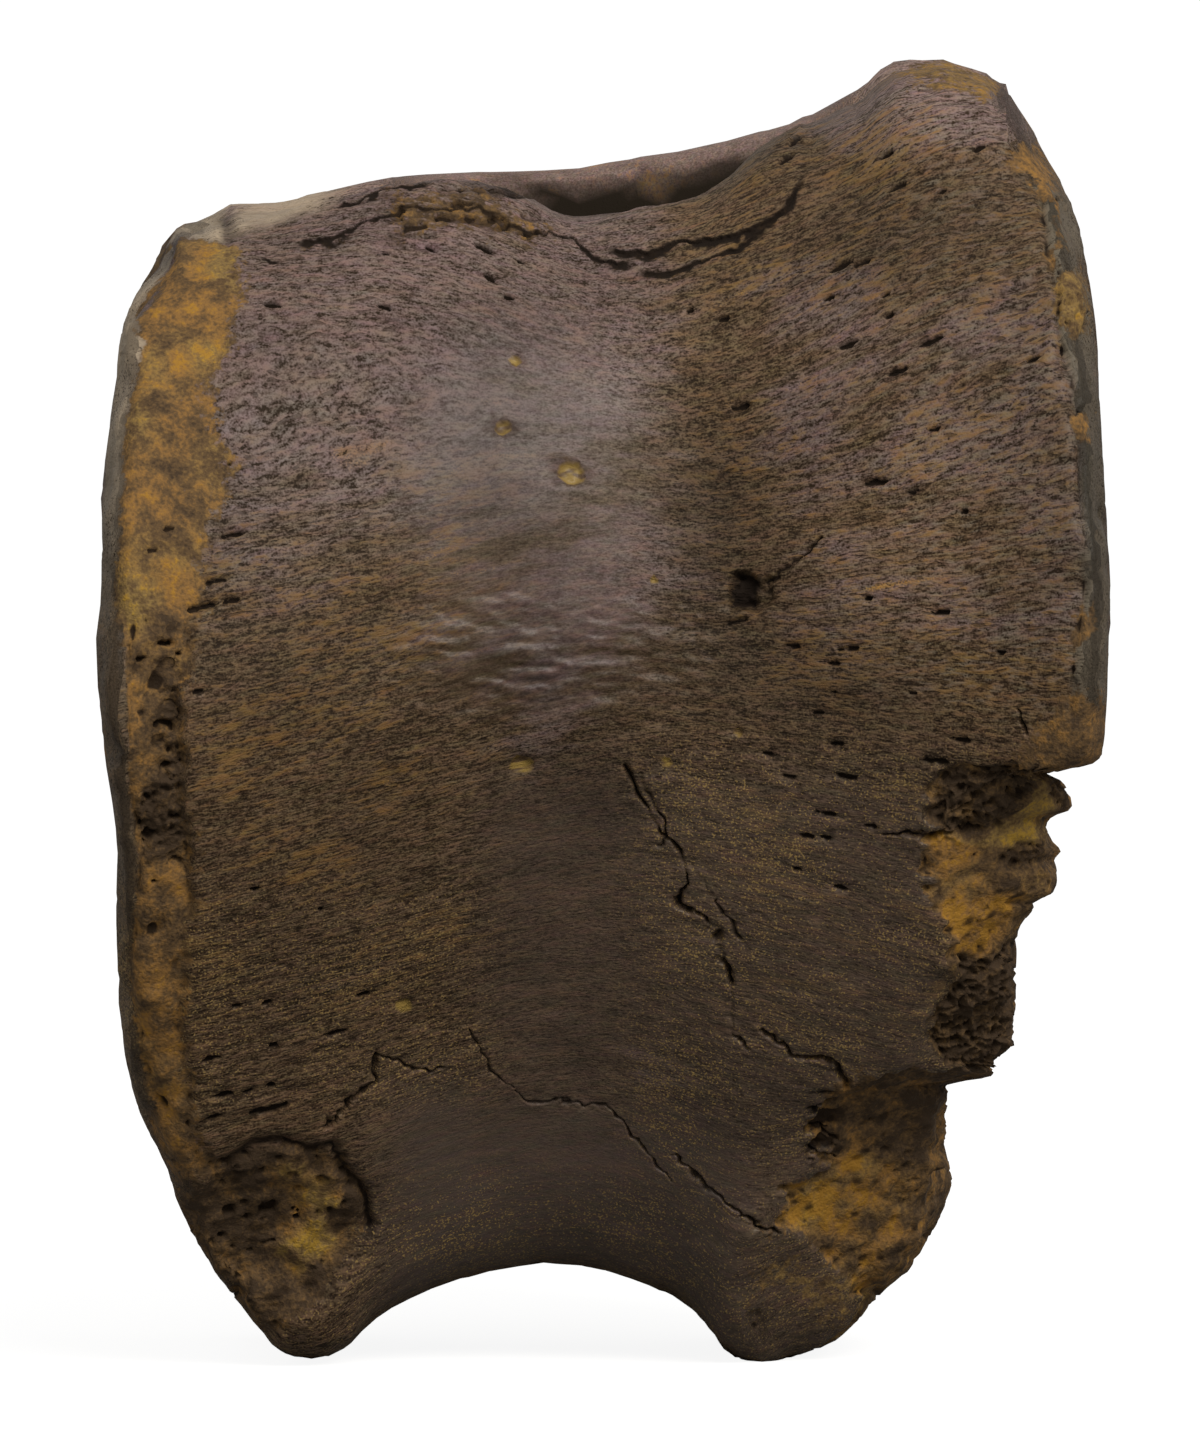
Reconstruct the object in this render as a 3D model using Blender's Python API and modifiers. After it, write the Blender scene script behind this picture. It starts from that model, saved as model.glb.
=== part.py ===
"""A fossil dinosaur vertebra: the spool-shaped centrum of a tail bone, standing on its ventral lips.

X runs along the spine, Y across it, Z up. The side seen in the photograph faces -Y. Shapes are
worked out in millimetres and turned into metres as each mesh is made.
"""

import bisect
import math

import bmesh
import bpy
from mathutils import Vector, noise

MM = 0.001

# Driving sizes, in millimetres
LENGTH = 84.0
HEIGHT = 109.2
END_HALF_WIDTH = 52.0
WAIST_HALF_WIDTH = 39.5
FAR_SIDE_SHARE = 0.97
FLARE_POWER = 1.75
WAIST_PLACE_HIGH = 0.16
WAIST_PLACE_LOW = -0.06
DISH_DEPTH = {-1: 6.0, 1: 6.5}
LIP_ROUNDING = 2.2

# Fineness of the meshes
BODY_CUTS = 63
BREAK_CUTS = 55
VOXEL = 1.05
TRIANGLES = 9400

BONE_COLOUR = (0.085, 0.055, 0.034, 1.0)
BONE_ROUGHNESS = 0.6

# How far the two end faces reach along X, by height
LEFT_END = (
    (0, -27.0), (3, -29.6), (8, -33.0), (12.5, -35.1), (17, -36.7), (21.7, -39.0), (25, -40.0),
    (34, -40.9), (45.5, -41.1), (51, -41.5), (56, -42.3), (60, -42.6), (64, -42.3), (76, -42.1),
    (80, -41.7), (86, -41.0), (89, -40.0), (93, -38.4), (95.2, -37.2), (97.2, -35.2), (99, -32),
    (110, -28),
)
RIGHT_END = (
    (0, 22), (5, 28), (15, 36), (25, 40.2), (40, 41.2), (50, 41.8), (60, 42.6), (70, 42.8),
    (80, 42.3), (88, 41.9), (95, 40.9), (98.3, 40.1), (102, 38.4), (105.8, 36.6), (108, 35.0),
    (110, 32.5),
)
# Height of the top and of the bottom, by place along X, and the usual heights of both, which the
# cross-section takes away from the two edges
TOP = (
    (-36, 96.6), (-31.2, 97.9), (-27.9, 97.8), (-25, 98.3), (-22.1, 98.9), (-17.7, 99.6), (-13.1, 100.1),
    (-7, 100.4), (-3.6, 100.7), (1.2, 101.3), (7.3, 102.5), (13.4, 103.8), (17.5, 104.8), (20.6, 106.0),
    (22.6, 107.3), (24.3, 108.9), (26.6, 110), (30.3, 110), (33.2, 109.3), (36.5, 107.4),
)
BOTTOM = (
    (-30, 2.6), (-27.4, 0.6), (-25.8, -0.1), (-24.4, -0.35), (-22.8, 0.1), (-21.2, 1.4), (-19.9, 2.6),
    (-18, 4.0), (-15.2, 5.3), (-10.9, 6.8), (-7.4, 7.5), (-4.6, 7.6), (-1.5, 7.4), (3.8, 5.6),
    (6.6, 4.2), (8.2, 2.8), (10, 0.6), (11.5, -0.4), (13.1, -0.7), (14.4, -0.5), (18, 0.4), (22, 2.6),
)
USUAL_TOP = 101.0
USUAL_BOTTOM = 3.0
EDGE_FADE = 2.2
# Half of the cross-section from the bottom to the top, as shares of its half width and half height
END_SECTION = (
    (0, -1), (0.33, -0.99), (0.56, -0.74), (0.75, -0.44), (0.91, -0.15), (1, 0.14), (0.94, 0.45),
    (0.77, 0.76), (0.46, 0.98), (0, 1),
)
WAIST_SECTION = (
    (0, -1), (0.33, -0.94), (0.59, -0.68), (0.79, -0.39), (0.94, -0.10), (1, 0.15), (0.97, 0.46),
    (0.85, 0.76), (0.52, 0.98), (0, 1),
)
# The broken right end. By height: how far it reaches in the middle, where its edge meets the near
# side, and the place across from which it slants away towards that edge
BREAK_REACH = (
    (-3, 14), (0.3, 17.2), (1.2, 19), (2.5, 21), (4.2, 23), (6.6, 24.9), (8.9, 26.9), (12.5, 28.9),
    (15.5, 30.2), (18.3, 29.3), (19.6, 29.7), (20.8, 29.3), (23.9, 29.6), (24.5, 32.8), (25.6, 33.8),
    (26.7, 35.2), (32, 35.4), (36.6, 35.7), (38.2, 36.6), (39.3, 37.6), (40.5, 38.6), (43.4, 38.6),
    (45, 37.7), (46.1, 38.3), (47.1, 39.8), (49, 39.2), (49.8, 38.2), (50.4, 40.0), (51, 43), (52.4, 48),
)
BREAK_NEAR_EDGE = (
    (0, 12.4), (7, 13.5), (11.5, 15), (15, 15.5), (17, 19.5), (18.5, 17.6), (20.3, 17.4), (22.6, 21.2),
    (25.5, 22.5), (27.5, 27), (31.5, 27.8), (35, 32), (38, 29), (41, 27.3), (44, 27), (48, 27),
    (50, 34), (51, 40), (52, 48),
)
BREAK_NEAR_START = (
    (0, -9), (3, -11), (8, -14), (15, -16.6), (20, -21), (25, -25), (31.5, -30.5), (38, -34.5),
    (45, -38), (50, -40),
)
BREAK_SLANT = 2.1

# The canal for the spinal cord, a trough along the top between two broken pillars
CANAL_DEPTH = 8.5
CANAL_HALF_WIDTH = 7.6
CANAL_MIDDLE = (3.0, 1.0)
CANAL_HALF_LENGTH = 17.0
CANAL_END_SHARE = 0.25
NEAR_PILLAR_DROP = 3.9
NEAR_PILLAR_HALF_LENGTH = 9.5
HAEMAL_GROOVE = (4.5, 1.6)

# Lower edge of the near pillar's broken sheets: X and Z, left to right
LEDGE_LINE = (
    (-32, 97.5), (-29, 96.0), (-23, 94.8), (-14.6, 95.4), (-11, 97.2), (-7, 97.0), (-2.8, 95.2),
    (0.6, 93.5), (3.1, 92.4), (8.2, 92.1), (11.6, 93.2), (14.9, 95.2), (17.5, 98.8),
)
LEDGE_HEIGHTS = (0.7, 0.5)
LEDGE_SPACING = 1.8

# Side openings for blood vessels: X, Z, radius, depth, on the near side and then on the far side
NEAR_FORAMINA = (
    (-2.6, 75.2, 1.25, 1.6), (-8.4, 78.9, 1.15, 1.0), (-6.7, 50.4, 1.15, 1.6), (-7.4, 84.6, 0.7, 0.7),
    (11.6, 63.4, 1.3, 1.3), (-16.8, 30.2, 0.8, 0.6), (-0.6, 21.6, 1.5, 0.9), (4.4, 66.1, 0.6, 0.5),
)
FAR_FORAMINA = (
    (3.5, 71.0, 1.3, 1.7), (-6.0, 56.0, 1.1, 1.4), (10.5, 48.0, 1.0, 1.2), (-14.0, 33.0, 0.9, 0.8),
)
# The hole broken through the skin above the waist, as overlapping hollows
SKIN_HOLE = ((12.4, 65.2, 1.7, 1.8), (14.6, 64.8, 1.5, 1.7), (11.4, 63.1, 1.3, 1.2), (15.5, 64.2, 1.0, 1.0))
# Holes eaten into the worn hollow at the lower left
HOLLOW_PITS = (
    (-31.4, 12.6, 1.2, 1.2), (-28.2, 12.8, 1.7, 1.6), (-31.6, 9.6, 1.2, 1.0), (-25.6, 14.6, 1.6, 1.0),
    (-30.4, 16.4, 1.3, 1.0), (-27.6, 9.4, 1.4, 1.1), (-23.4, 10.8, 1.3, 0.9), (-24.6, 7.0, 1.2, 0.8),
)

# Cracks as lines of X and Z, each with its width and depth
NEAR_CRACKS = (
    (1.3, 1.1, ((3.4, 48.6), (4.6, 45.0), (6.9, 42.0), (8.0, 38.6), (10.2, 35.6), (11.6, 31.4))),
    (1.2, 1.1, ((10.6, 28.2), (13.4, 26.6), (15.2, 25.4), (18.6, 24.4), (21.8, 23.6))),
    (0.8, 0.7, ((-7.2, 22.6), (-2.2, 21.8), (1.0, 20.8), (4.6, 15.8), (7.6, 13.4), (10.8, 11.6))),
    (1.0, 1.0, ((22.0, 44.8), (25.6, 44.4), (29.0, 44.2))),
    (0.9, 0.8, ((-23.2, 20.6), (-20.6, 22.6), (-18.6, 24.6), (-15.8, 24.0))),
)
FAR_CRACKS = (
    (1.1, 1.0, ((-12.0, 52.0), (-9.0, 45.0), (-8.0, 38.0), (-3.0, 31.0))),
    (0.9, 0.9, ((12.0, 80.0), (16.0, 72.0), (17.5, 66.0))),
)

# Worn hollows near the rims: X, Z, half length, half height, depth
NEAR_HOLLOWS = (
    (-27.2, 12.4, 7.6, 6.2, 1.7), (-37.4, 47.0, 2.6, 15.0, 0.9), (-37.5, 26.0, 2.4, 6.0, 0.6),
    (-36.5, 78.0, 3.8, 14.0, 0.5), (39.6, 85.0, 1.6, 4.0, 0.7), (36.6, 99.0, 2.0, 3.0, 0.6),
)
FAR_HOLLOWS = (
    (-36.5, 60.0, 3.2, 17.0, 0.9), (36.0, 72.0, 3.4, 13.0, 0.9), (-27.0, 13.0, 7.0, 6.0, 1.5),
    (21.0, 90.0, 6.0, 3.0, 0.8),
)

# Smooth dents and swellings of the near side: X, Z, half length, half height, depth
NEAR_DENTS = (
    (8.6, 74.0, 5.0, 16.0, 1.5), (-6.0, 70.0, 12.0, 12.0, -0.8), (26.0, 84.0, 9.0, 10.0, -0.7),
    (2.0, 26.0, 14.0, 10.0, 0.6), (-24.0, 84.0, 10.0, 7.0, 0.6), (30.0, 97.0, 6.0, 4.0, 0.8),
)

# The vertebra stands on its lips, which are worn flat by this much
FOOT_WEAR = 0.6


def profile(points):
    """A line through (place, value) pairs that doesn't swing past them, level beyond its ends."""
    places = [float(p[0]) for p in points]
    values = [float(p[1]) for p in points]
    rises = [
        (values[i + 1] - values[i]) / (places[i + 1] - places[i]) for i in range(len(points) - 1)
    ]
    slopes = [rises[0]]
    for before, after in zip(rises, rises[1:]):
        same_way = before * after > 0
        slopes.append(2 * before * after / (before + after) if same_way else 0.0)
    slopes.append(rises[-1])

    def value(place):
        if place <= places[0]:
            return values[0]
        if place >= places[-1]:
            return values[-1]
        i = bisect.bisect_right(places, place) - 1
        width = places[i + 1] - places[i]
        t = (place - places[i]) / width
        start = (1 + 2 * t) * (1 - t) ** 2 * values[i] + t * (1 - t) ** 2 * width * slopes[i]
        end = t * t * (3 - 2 * t) * values[i + 1] + t * t * (t - 1) * width * slopes[i + 1]
        return start + end

    return value


def section(points):
    """Half a cross-section as a function of the way round it, from 0 at the bottom to 1 at the top."""
    last = len(points) - 1
    across = profile([(i / last, p[0]) for i, p in enumerate(points)])
    upward = profile([(i / last, p[1]) for i, p in enumerate(points)])
    return lambda way: (across(way), upward(way))


def ease(low, high, value):
    """0 below low, 1 above high and smooth between."""
    t = min(1.0, max(0.0, (value - low) / (high - low)))
    return t * t * (3 - 2 * t)


def mix(first, second, share):
    return first + (second - first) * share


def rough(x, y, z, size, octaves=3):
    """Natural unevenness from about -1 to 1, with lumps of the given size in millimetres."""
    return noise.fractal(Vector((x, y, z)) / size, 0.9, 2.1, octaves)


left_end = profile(LEFT_END)
right_end = profile(RIGHT_END)
top_height = profile(TOP)
bottom_height = profile(BOTTOM)
end_section = section(END_SECTION)
waist_section = section(WAIST_SECTION)
break_reach = profile(BREAK_REACH)
break_near_edge = profile(BREAK_NEAR_EDGE)
break_near_start = profile(BREAK_NEAR_START)
ledge_line = profile(LEDGE_LINE)


def way_round(b, c):
    """How far round the half section a point on the square's edge is, from 0 to 1."""
    if abs(c) >= abs(b):
        return 0.25 * abs(b) if c < 0 else 1 - 0.25 * abs(b)
    return 0.25 + 0.25 * (c + 1)


def canal_drop(x, y):
    """How far the trough for the spinal cord and the worn near pillar lower the top."""
    along = abs(x - CANAL_MIDDLE[0]) / CANAL_HALF_LENGTH
    share = mix(1.0, CANAL_END_SHARE, ease(0.4, 1.5, along))
    across = (y - CANAL_MIDDLE[1]) / CANAL_HALF_WIDTH
    trough = CANAL_DEPTH * share * math.exp(-abs(across) ** 3.4)
    along_pillar = abs(x - CANAL_MIDDLE[0]) / NEAR_PILLAR_HALF_LENGTH
    return trough + NEAR_PILLAR_DROP * ease(4, -12, y) * (1 - ease(0.5, 1.3, along_pillar))


def body_point(a, b, c):
    """Where a point of the cube from -1 to 1 lies on the whole, unbroken centrum."""
    out = max(abs(b), abs(c))
    edge = (b / out, c / out) if out else (0.0, -1.0)
    way = way_round(*edge)
    waist = mix(WAIST_PLACE_LOW, WAIST_PLACE_HIGH, ease(0.35, 0.65, 0.5 * (1 + edge[1] * out)))
    flare = abs((a - waist) / (1 - waist if a > waist else 1 + waist)) ** FLARE_POWER
    end_shape, waist_shape = end_section(way), waist_section(way)
    across = mix(waist_shape[0], end_shape[0], flare)
    upward = mix(waist_shape[1], end_shape[1], flare)
    half_width = mix(WAIST_HALF_WIDTH, END_HALF_WIDTH, flare)
    shrink = 1 - LIP_ROUNDING / END_HALF_WIDTH * (max(0.0, abs(a) - 0.93) / 0.07) ** 2
    y = half_width * across * out * shrink * (-1 if edge[0] < 0 else FAR_SIDE_SHARE)
    share = 0.5 * (1 + upward * out * shrink)
    usual = mix(USUAL_BOTTOM, USUAL_TOP, share)
    x, z = 36 * a, usual
    for _ in range(6):
        raised = (top_height(x) - USUAL_TOP) * share**EDGE_FADE
        lowered = (bottom_height(x) - USUAL_BOTTOM) * (1 - share) ** EDGE_FADE
        z = 0.5 * (z + usual + raised + lowered)
        x = mix(left_end(z), right_end(z), 0.5 * (a + 1))
    if abs(a) > 0.999:
        side = int(math.copysign(1, a))
        dish = DISH_DEPTH[side] * (1 - ease(0.35, 0.93, out))
        lip = 0.7 * LIP_ROUNDING * (max(0.0, out - 0.93) / 0.07) ** 2
        x -= side * (dish + lip)
    z -= canal_drop(x, y) * ease(0.72, 0.9, way) * out
    z += HAEMAL_GROOVE[1] * math.exp(-((y / HAEMAL_GROOVE[0]) ** 2)) * ease(0.2, 0.02, way)
    return Vector((x, y, z))


def break_point(a, b, c):
    """Where a point of the cube from -1 to 1 lies on the block that the broken right end left."""
    y = 66 * b
    z = 29 + 33 * c
    off_middle = ease(3, 18, abs(y))
    level = z - 0.2 * max(0.0, y - 6) - 4.5 * off_middle * abs(rough(31, y, 0.5 * z, 15, 2))
    near = break_near_start(level) - y
    reach = break_reach(level)
    if near > 0:
        reach = max(break_near_edge(level) - 1.5, reach - BREAK_SLANT * near)
    reach -= (0.35 * max(0.0, y - 12) + 0.5 * max(0.0, y - 30)) * (1 - ease(50, 53, level))
    reach -= 1.6 * off_middle * abs(rough(3, y, z, 7)) + 0.4 * abs(rough(9, y, z, 2.8))
    return Vector((mix(reach, 70, 0.5 * (a + 1)), y, z))


def mesh_of_cube(name, cuts, placed):
    """A cube cut into a fine grid, each of whose points goes where placed says, in millimetres."""
    bm = bmesh.new()
    bmesh.ops.create_cube(bm, size=2)
    bmesh.ops.subdivide_edges(bm, edges=bm.edges, cuts=cuts, use_grid_fill=True)
    for vert in bm.verts:
        vert.co = placed(*vert.co) * MM
    bmesh.ops.recalc_face_normals(bm, faces=bm.faces)
    mesh = bpy.data.meshes.new(name)
    bm.to_mesh(mesh)
    bm.free()
    return mesh


def nearest_on_line(x, z, points):
    """Distance from (x, z) to a line of points."""
    best = 1e9
    for (x0, z0), (x1, z1) in zip(points, points[1:]):
        dx, dz = x1 - x0, z1 - z0
        t = min(1.0, max(0.0, ((x - x0) * dx + (z - z0) * dz) / (dx * dx + dz * dz)))
        best = min(best, math.hypot(x - x0 - t * dx, z - z0 - t * dz))
    return best


def ledge_rise(x, z):
    """Stacked sheets of bone along the near pillar: how far they stand out at a place on the side."""
    if not LEDGE_LINE[0][0] < x < LEDGE_LINE[-1][0]:
        return 0.0
    above = z - ledge_line(x) + 0.5 * rough(x, 0, 0, 5)
    fade = ease(LEDGE_LINE[0][0], -26, x) * (1 - ease(14.5, LEDGE_LINE[-1][0], x))
    rise = 0.0
    for step, height in enumerate(LEDGE_HEIGHTS):
        rise += height * ease(-0.25, 0.25, above - step * LEDGE_SPACING)
    return rise * fade * (1 - ease(5, 10, above))


def wear(x, y, z):
    """How far weathering and breakage lowered the side surface at a place, in millimetres."""
    near = y < 0
    depth = 0.0
    for px, pz, radius, deep in NEAR_FORAMINA + SKIN_HOLE + HOLLOW_PITS if near else FAR_FORAMINA:
        depth = max(depth, deep * (1 - ease(0.45, 1.15, math.hypot(x - px, z - pz) / radius)))
    for width, deep, points in NEAR_CRACKS if near else FAR_CRACKS:
        wander = 0.35 * rough(x, y, z, 1.7)
        away = nearest_on_line(x + wander, z - wander, points)
        depth = max(depth, deep * (1 - ease(0.1, 1.0, away / width)))
    hollow = 0.0
    for hx, hz, length, height, deep in NEAR_HOLLOWS if near else FAR_HOLLOWS:
        away = math.hypot((x - hx) / length, (z - hz) / height) + 0.2 * rough(x, y, z, 5)
        hollow = max(hollow, deep * (1 - ease(0.7, 1.05, away)))
    for hx, hz, length, height, deep in NEAR_DENTS if near else ():
        hollow += deep * math.exp(-(((x - hx) / length) ** 2) - ((z - hz) / height) ** 2)
    return depth + hollow


def weather(bm):
    """Gives the remeshed bone its ledges, vessel openings, cracks, worn hollows and unevenness."""
    bm.normal_update()
    moved = []
    for vert in bm.verts:
        x, y, z = vert.co / MM
        from_middle = abs(y) - mix(6, 18, ease(8, 30, z))
        lower = wear(x, y, z) * ease(0.25, 0.6, abs(vert.normal.y)) * ease(0, 6, from_middle)
        if y < 0 and z > 88:
            lower -= ledge_rise(x, z) * ease(-4, -14, y) * ease(0.02, 0.2, -vert.normal.y)
        swell = 0.28 * rough(x, y, z, 14, 2)
        if abs(vert.normal.x) > 0.7:
            swell += 0.5 * rough(x, y, z, 6, 2)
        moved.append(vert.co + vert.normal * (swell - lower) * MM)
    for vert, place in zip(bm.verts, moved):
        vert.co = place


def span(bm, axis):
    """The lowest and the highest place that the mesh reaches along an axis."""
    places = [vert.co[axis] for vert in bm.verts]
    return min(places), max(places)


def stand_on_lips(bm):
    """Cuts the lips flat where they touch the ground, and sets that cut at height 0."""
    lowest = span(bm, 2)[0]
    bmesh.ops.translate(bm, verts=bm.verts, vec=(0, 0, -lowest - FOOT_WEAR * MM))
    cut = bmesh.ops.bisect_plane(
        bm, geom=bm.verts[:] + bm.edges[:] + bm.faces[:], plane_co=(0, 0, 0), plane_no=(0, 0, 1),
        clear_inner=True, dist=1e-6,
    )
    rim = [e for e in cut["geom_cut"] if isinstance(e, bmesh.types.BMEdge)]
    bmesh.ops.edgeloop_fill(bm, edges=rim)
    bmesh.ops.triangulate(bm, faces=bm.faces)


def fit_to_sizes(bm):
    """Brings the length and the height to the driving sizes, centred over the origin."""
    low_x, high_x = span(bm, 0)
    low_y, high_y = span(bm, 1)
    middle = Vector((-0.5 * (low_x + high_x), -0.5 * (low_y + high_y), 0))
    bmesh.ops.translate(bm, verts=bm.verts, vec=middle)
    share = (LENGTH * MM / (high_x - low_x), 1, HEIGHT * MM / span(bm, 2)[1])
    bmesh.ops.scale(bm, verts=bm.verts, vec=share)


def bone_material():
    material = bpy.data.materials.new("fossil_bone")
    material.use_nodes = True
    shader = material.node_tree.nodes["Principled BSDF"]
    shader.inputs["Base Color"].default_value = BONE_COLOUR
    shader.inputs["Roughness"].default_value = BONE_ROUGHNESS
    shader.inputs["Metallic"].default_value = 0.0
    return material


def collection(name):
    made = bpy.data.collections.new(name)
    bpy.context.scene.collection.children.link(made)
    return made


def evaluated_mesh(obj, name):
    """A new mesh with the object's modifiers applied."""
    bpy.context.view_layer.update()
    graph = bpy.context.evaluated_depsgraph_get()
    mesh = bpy.data.meshes.new_from_object(obj.evaluated_get(graph))
    mesh.name = name
    return mesh


def main():
    for obj in list(bpy.data.objects):
        bpy.data.objects.remove(obj, do_unlink=True)
    parts = collection("fossil_dinosaur_vertebra")
    cutters = collection("cutters")

    cutter = bpy.data.objects.new(
        "broken_end_cutter", mesh_of_cube("broken_end_cutter", BREAK_CUTS, break_point)
    )
    cutter.display_type = "WIRE"
    cutter.hide_render = True
    cutters.objects.link(cutter)

    vertebra = bpy.data.objects.new("vertebra", mesh_of_cube("centrum", BODY_CUTS, body_point))
    parts.objects.link(vertebra)
    broken = vertebra.modifiers.new("broken end", "BOOLEAN")
    broken.operation = "DIFFERENCE"
    broken.solver = "EXACT"
    broken.object = cutter
    even = vertebra.modifiers.new("even mesh", "REMESH")
    even.mode = "VOXEL"
    even.voxel_size = VOXEL * MM
    soften = vertebra.modifiers.new("rounded edges", "SMOOTH")
    soften.factor = 0.5
    soften.iterations = 3

    bm = bmesh.new()
    bm.from_mesh(evaluated_mesh(vertebra, "whole"))
    weather(bm)
    fine = bpy.data.meshes.new("weathered")
    bm.to_mesh(fine)
    bm.free()
    vertebra.modifiers.clear()
    vertebra.data = fine
    fewer = vertebra.modifiers.new("fewer faces", "DECIMATE")
    fewer.ratio = TRIANGLES / sum(len(p.vertices) - 2 for p in fine.polygons)

    bm = bmesh.new()
    bm.from_mesh(evaluated_mesh(vertebra, "vertebra"))
    stand_on_lips(bm)
    fit_to_sizes(bm)
    solid = bpy.data.meshes.new("vertebra")
    bm.to_mesh(solid)
    bm.free()
    vertebra.modifiers.clear()
    vertebra.data = solid
    solid.materials.append(bone_material())
    solid.shade_smooth()
    solid.set_sharp_from_angle(angle=math.radians(50))


main()
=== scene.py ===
import math

import bmesh
import bpy
import numpy as np
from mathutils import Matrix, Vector


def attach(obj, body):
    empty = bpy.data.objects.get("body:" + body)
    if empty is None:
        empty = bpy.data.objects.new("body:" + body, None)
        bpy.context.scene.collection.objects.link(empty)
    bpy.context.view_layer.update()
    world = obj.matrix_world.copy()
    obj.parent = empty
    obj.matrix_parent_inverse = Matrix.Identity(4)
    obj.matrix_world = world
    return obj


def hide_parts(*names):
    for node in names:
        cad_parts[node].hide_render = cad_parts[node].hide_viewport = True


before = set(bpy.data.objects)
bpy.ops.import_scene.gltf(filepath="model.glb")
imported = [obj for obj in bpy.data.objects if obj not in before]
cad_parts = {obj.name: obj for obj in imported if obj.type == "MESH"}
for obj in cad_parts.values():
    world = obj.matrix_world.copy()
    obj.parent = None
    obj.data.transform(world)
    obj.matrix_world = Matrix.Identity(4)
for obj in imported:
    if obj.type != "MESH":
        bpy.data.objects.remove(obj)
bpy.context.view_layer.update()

mm = 0.001

# The camera looks at the near side, a little from above, from far enough away to see it nearly flat
view = {
    "distance": 2000.0,
    "aim": (-0.318, 0.0, 53.281),
    "elevation": 3.0,
    "pixelsPerMm": 11.834,
    "longSide": 1445,
    "sensor": 36.0,
    "clip": (0.1, 100),
}

# How whole numbers are scrambled into chances, and how finer lumps follow coarser ones
scramble = {
    "cell": (73856093, 19349663, 83492791),
    "seed": 7368787,
    "rounds": ((13, 1274126177), (15, 668265263)),
    "last": 16,
    "most": 0xFFFFFF,
}
lumpiness = {"ratio": 2.03, "shift": 17.3, "fade": 0.55, "gain": 1.6}


def ease(low, high, value):
    # 0 up to the first value and 1 from the second on, or the other way round
    share = np.clip((value - low) / (high - low), 0, 1)
    return share * share * (3 - 2 * share)


def bell(offset, width, power=2):
    # 1 where the offset is 0, fading on both sides
    return np.exp(-((offset / width) ** power))


def oval(x, z, atX, atZ, wide, tall):
    return np.exp(-(((x - atX) / wide) ** 2 + ((z - atZ) / tall) ** 2))


def most(*shares):
    return np.maximum.reduce(shares)


def cellChance(cells, seed):
    # a repeatable number from 0 to 1 for each whole-numbered cell
    mixed = seed * scramble["seed"]
    for column, factor in enumerate(scramble["cell"]):
        mixed = mixed ^ cells[..., column] * factor
    for shift, factor in scramble["rounds"]:
        mixed = (mixed ^ (mixed >> shift)) * factor
    return ((mixed ^ (mixed >> scramble["last"])) & scramble["most"]) / scramble["most"]


def lumps(points, size, seed, octaves=3):
    # soft natural unevenness from about -1 to 1, with lumps of the given size
    total, weight, sumOfWeights = 0.0, 1.0, 0.0
    for octave in range(octaves):
        scaled = points / size * lumpiness["ratio"] ** octave + lumpiness["shift"] * octave
        cell = np.floor(scaled).astype(np.int64)
        within = scaled - cell
        within = within**3 * (within * (within * 6 - 15) + 10)
        value = 0.0
        for corner in np.ndindex(2, 2, 2):
            share = np.prod(np.where(corner, within, 1 - within), axis=1)
            value = value + share * cellChance(cell + np.array(corner), seed + octave)
        total = total + weight * (2 * value - 1)
        sumOfWeights += weight
        weight *= lumpiness["fade"]
    return total / sumOfWeights * lumpiness["gain"]


def nearestSeeds(points, size, seed):
    # distance to the nearest and to the next of points scattered one to a cell, and the nearest one's own number
    scaled = points / size
    home = np.floor(scaled).astype(np.int64)
    first = np.full(len(points), 9.0)
    second = np.full(len(points), 9.0)
    chance = np.zeros(len(points))
    for step in np.ndindex(3, 3, 3):
        cell = home + np.array(step) - 1
        seedPlace = cell + np.stack([cellChance(cell, seed + k) for k in range(3)], axis=1)
        away = np.linalg.norm(scaled - seedPlace, axis=1)
        closer = away < first
        second = np.where(closer, first, np.minimum(second, away))
        chance = np.where(closer, cellChance(cell, seed + 7), chance)
        first = np.where(closer, away, first)
    return first, second, chance


def pits(points, size, seed, least, widest):
    # scattered holes: 1 at a centre, 0 outside, of varied width
    first, second, chance = nearestSeeds(points, size, seed)
    wide = least + (widest - least) * chance
    return ease(wide, wide * 0.45, first)


def besideLine(x, z, line):
    # distance from a line drawn left to right, and 1 above it or -1 below it
    nearest = np.full(x.shape, 1e9)
    above = np.zeros(x.shape)
    for (x0, z0), (x1, z1) in zip(line, line[1:]):
        dx, dz = x1 - x0, z1 - z0
        share = np.clip(((x - x0) * dx + (z - z0) * dz) / (dx * dx + dz * dz), 0, 1)
        away = np.hypot(x - x0 - share * dx, z - z0 - share * dz)
        closer = away < nearest
        nearest = np.where(closer, away, nearest)
        above = np.where(closer, np.sign((z - z0) * dx - (x - x0) * dz), above)
    return nearest, above


def lineDistance(x, z, line):
    return besideLine(x, z, line)[0]


def acrossAt(line, z):
    # the x of a line that runs down the picture, at each height
    places = np.array(sorted(line, key=lambda place: place[1]))
    return np.interp(z, places[:, 1], places[:, 0])


def patch(x, z, outline, soft=1.0):
    # 1 well inside an outline, 0 well outside and a half on it
    closed = list(outline) + [outline[0]]
    inside = np.zeros(x.shape, bool)
    for (x0, z0), (x1, z1) in zip(closed, closed[1:]):
        if z0 != z1:
            inside ^= ((z0 > z) != (z1 > z)) & (x < x0 + (z - z0) / (z1 - z0) * (x1 - x0))
    away = lineDistance(x, z, closed)
    return np.clip(0.5 + np.where(inside, away, -away) / (2 * soft), 0, 1)


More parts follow.
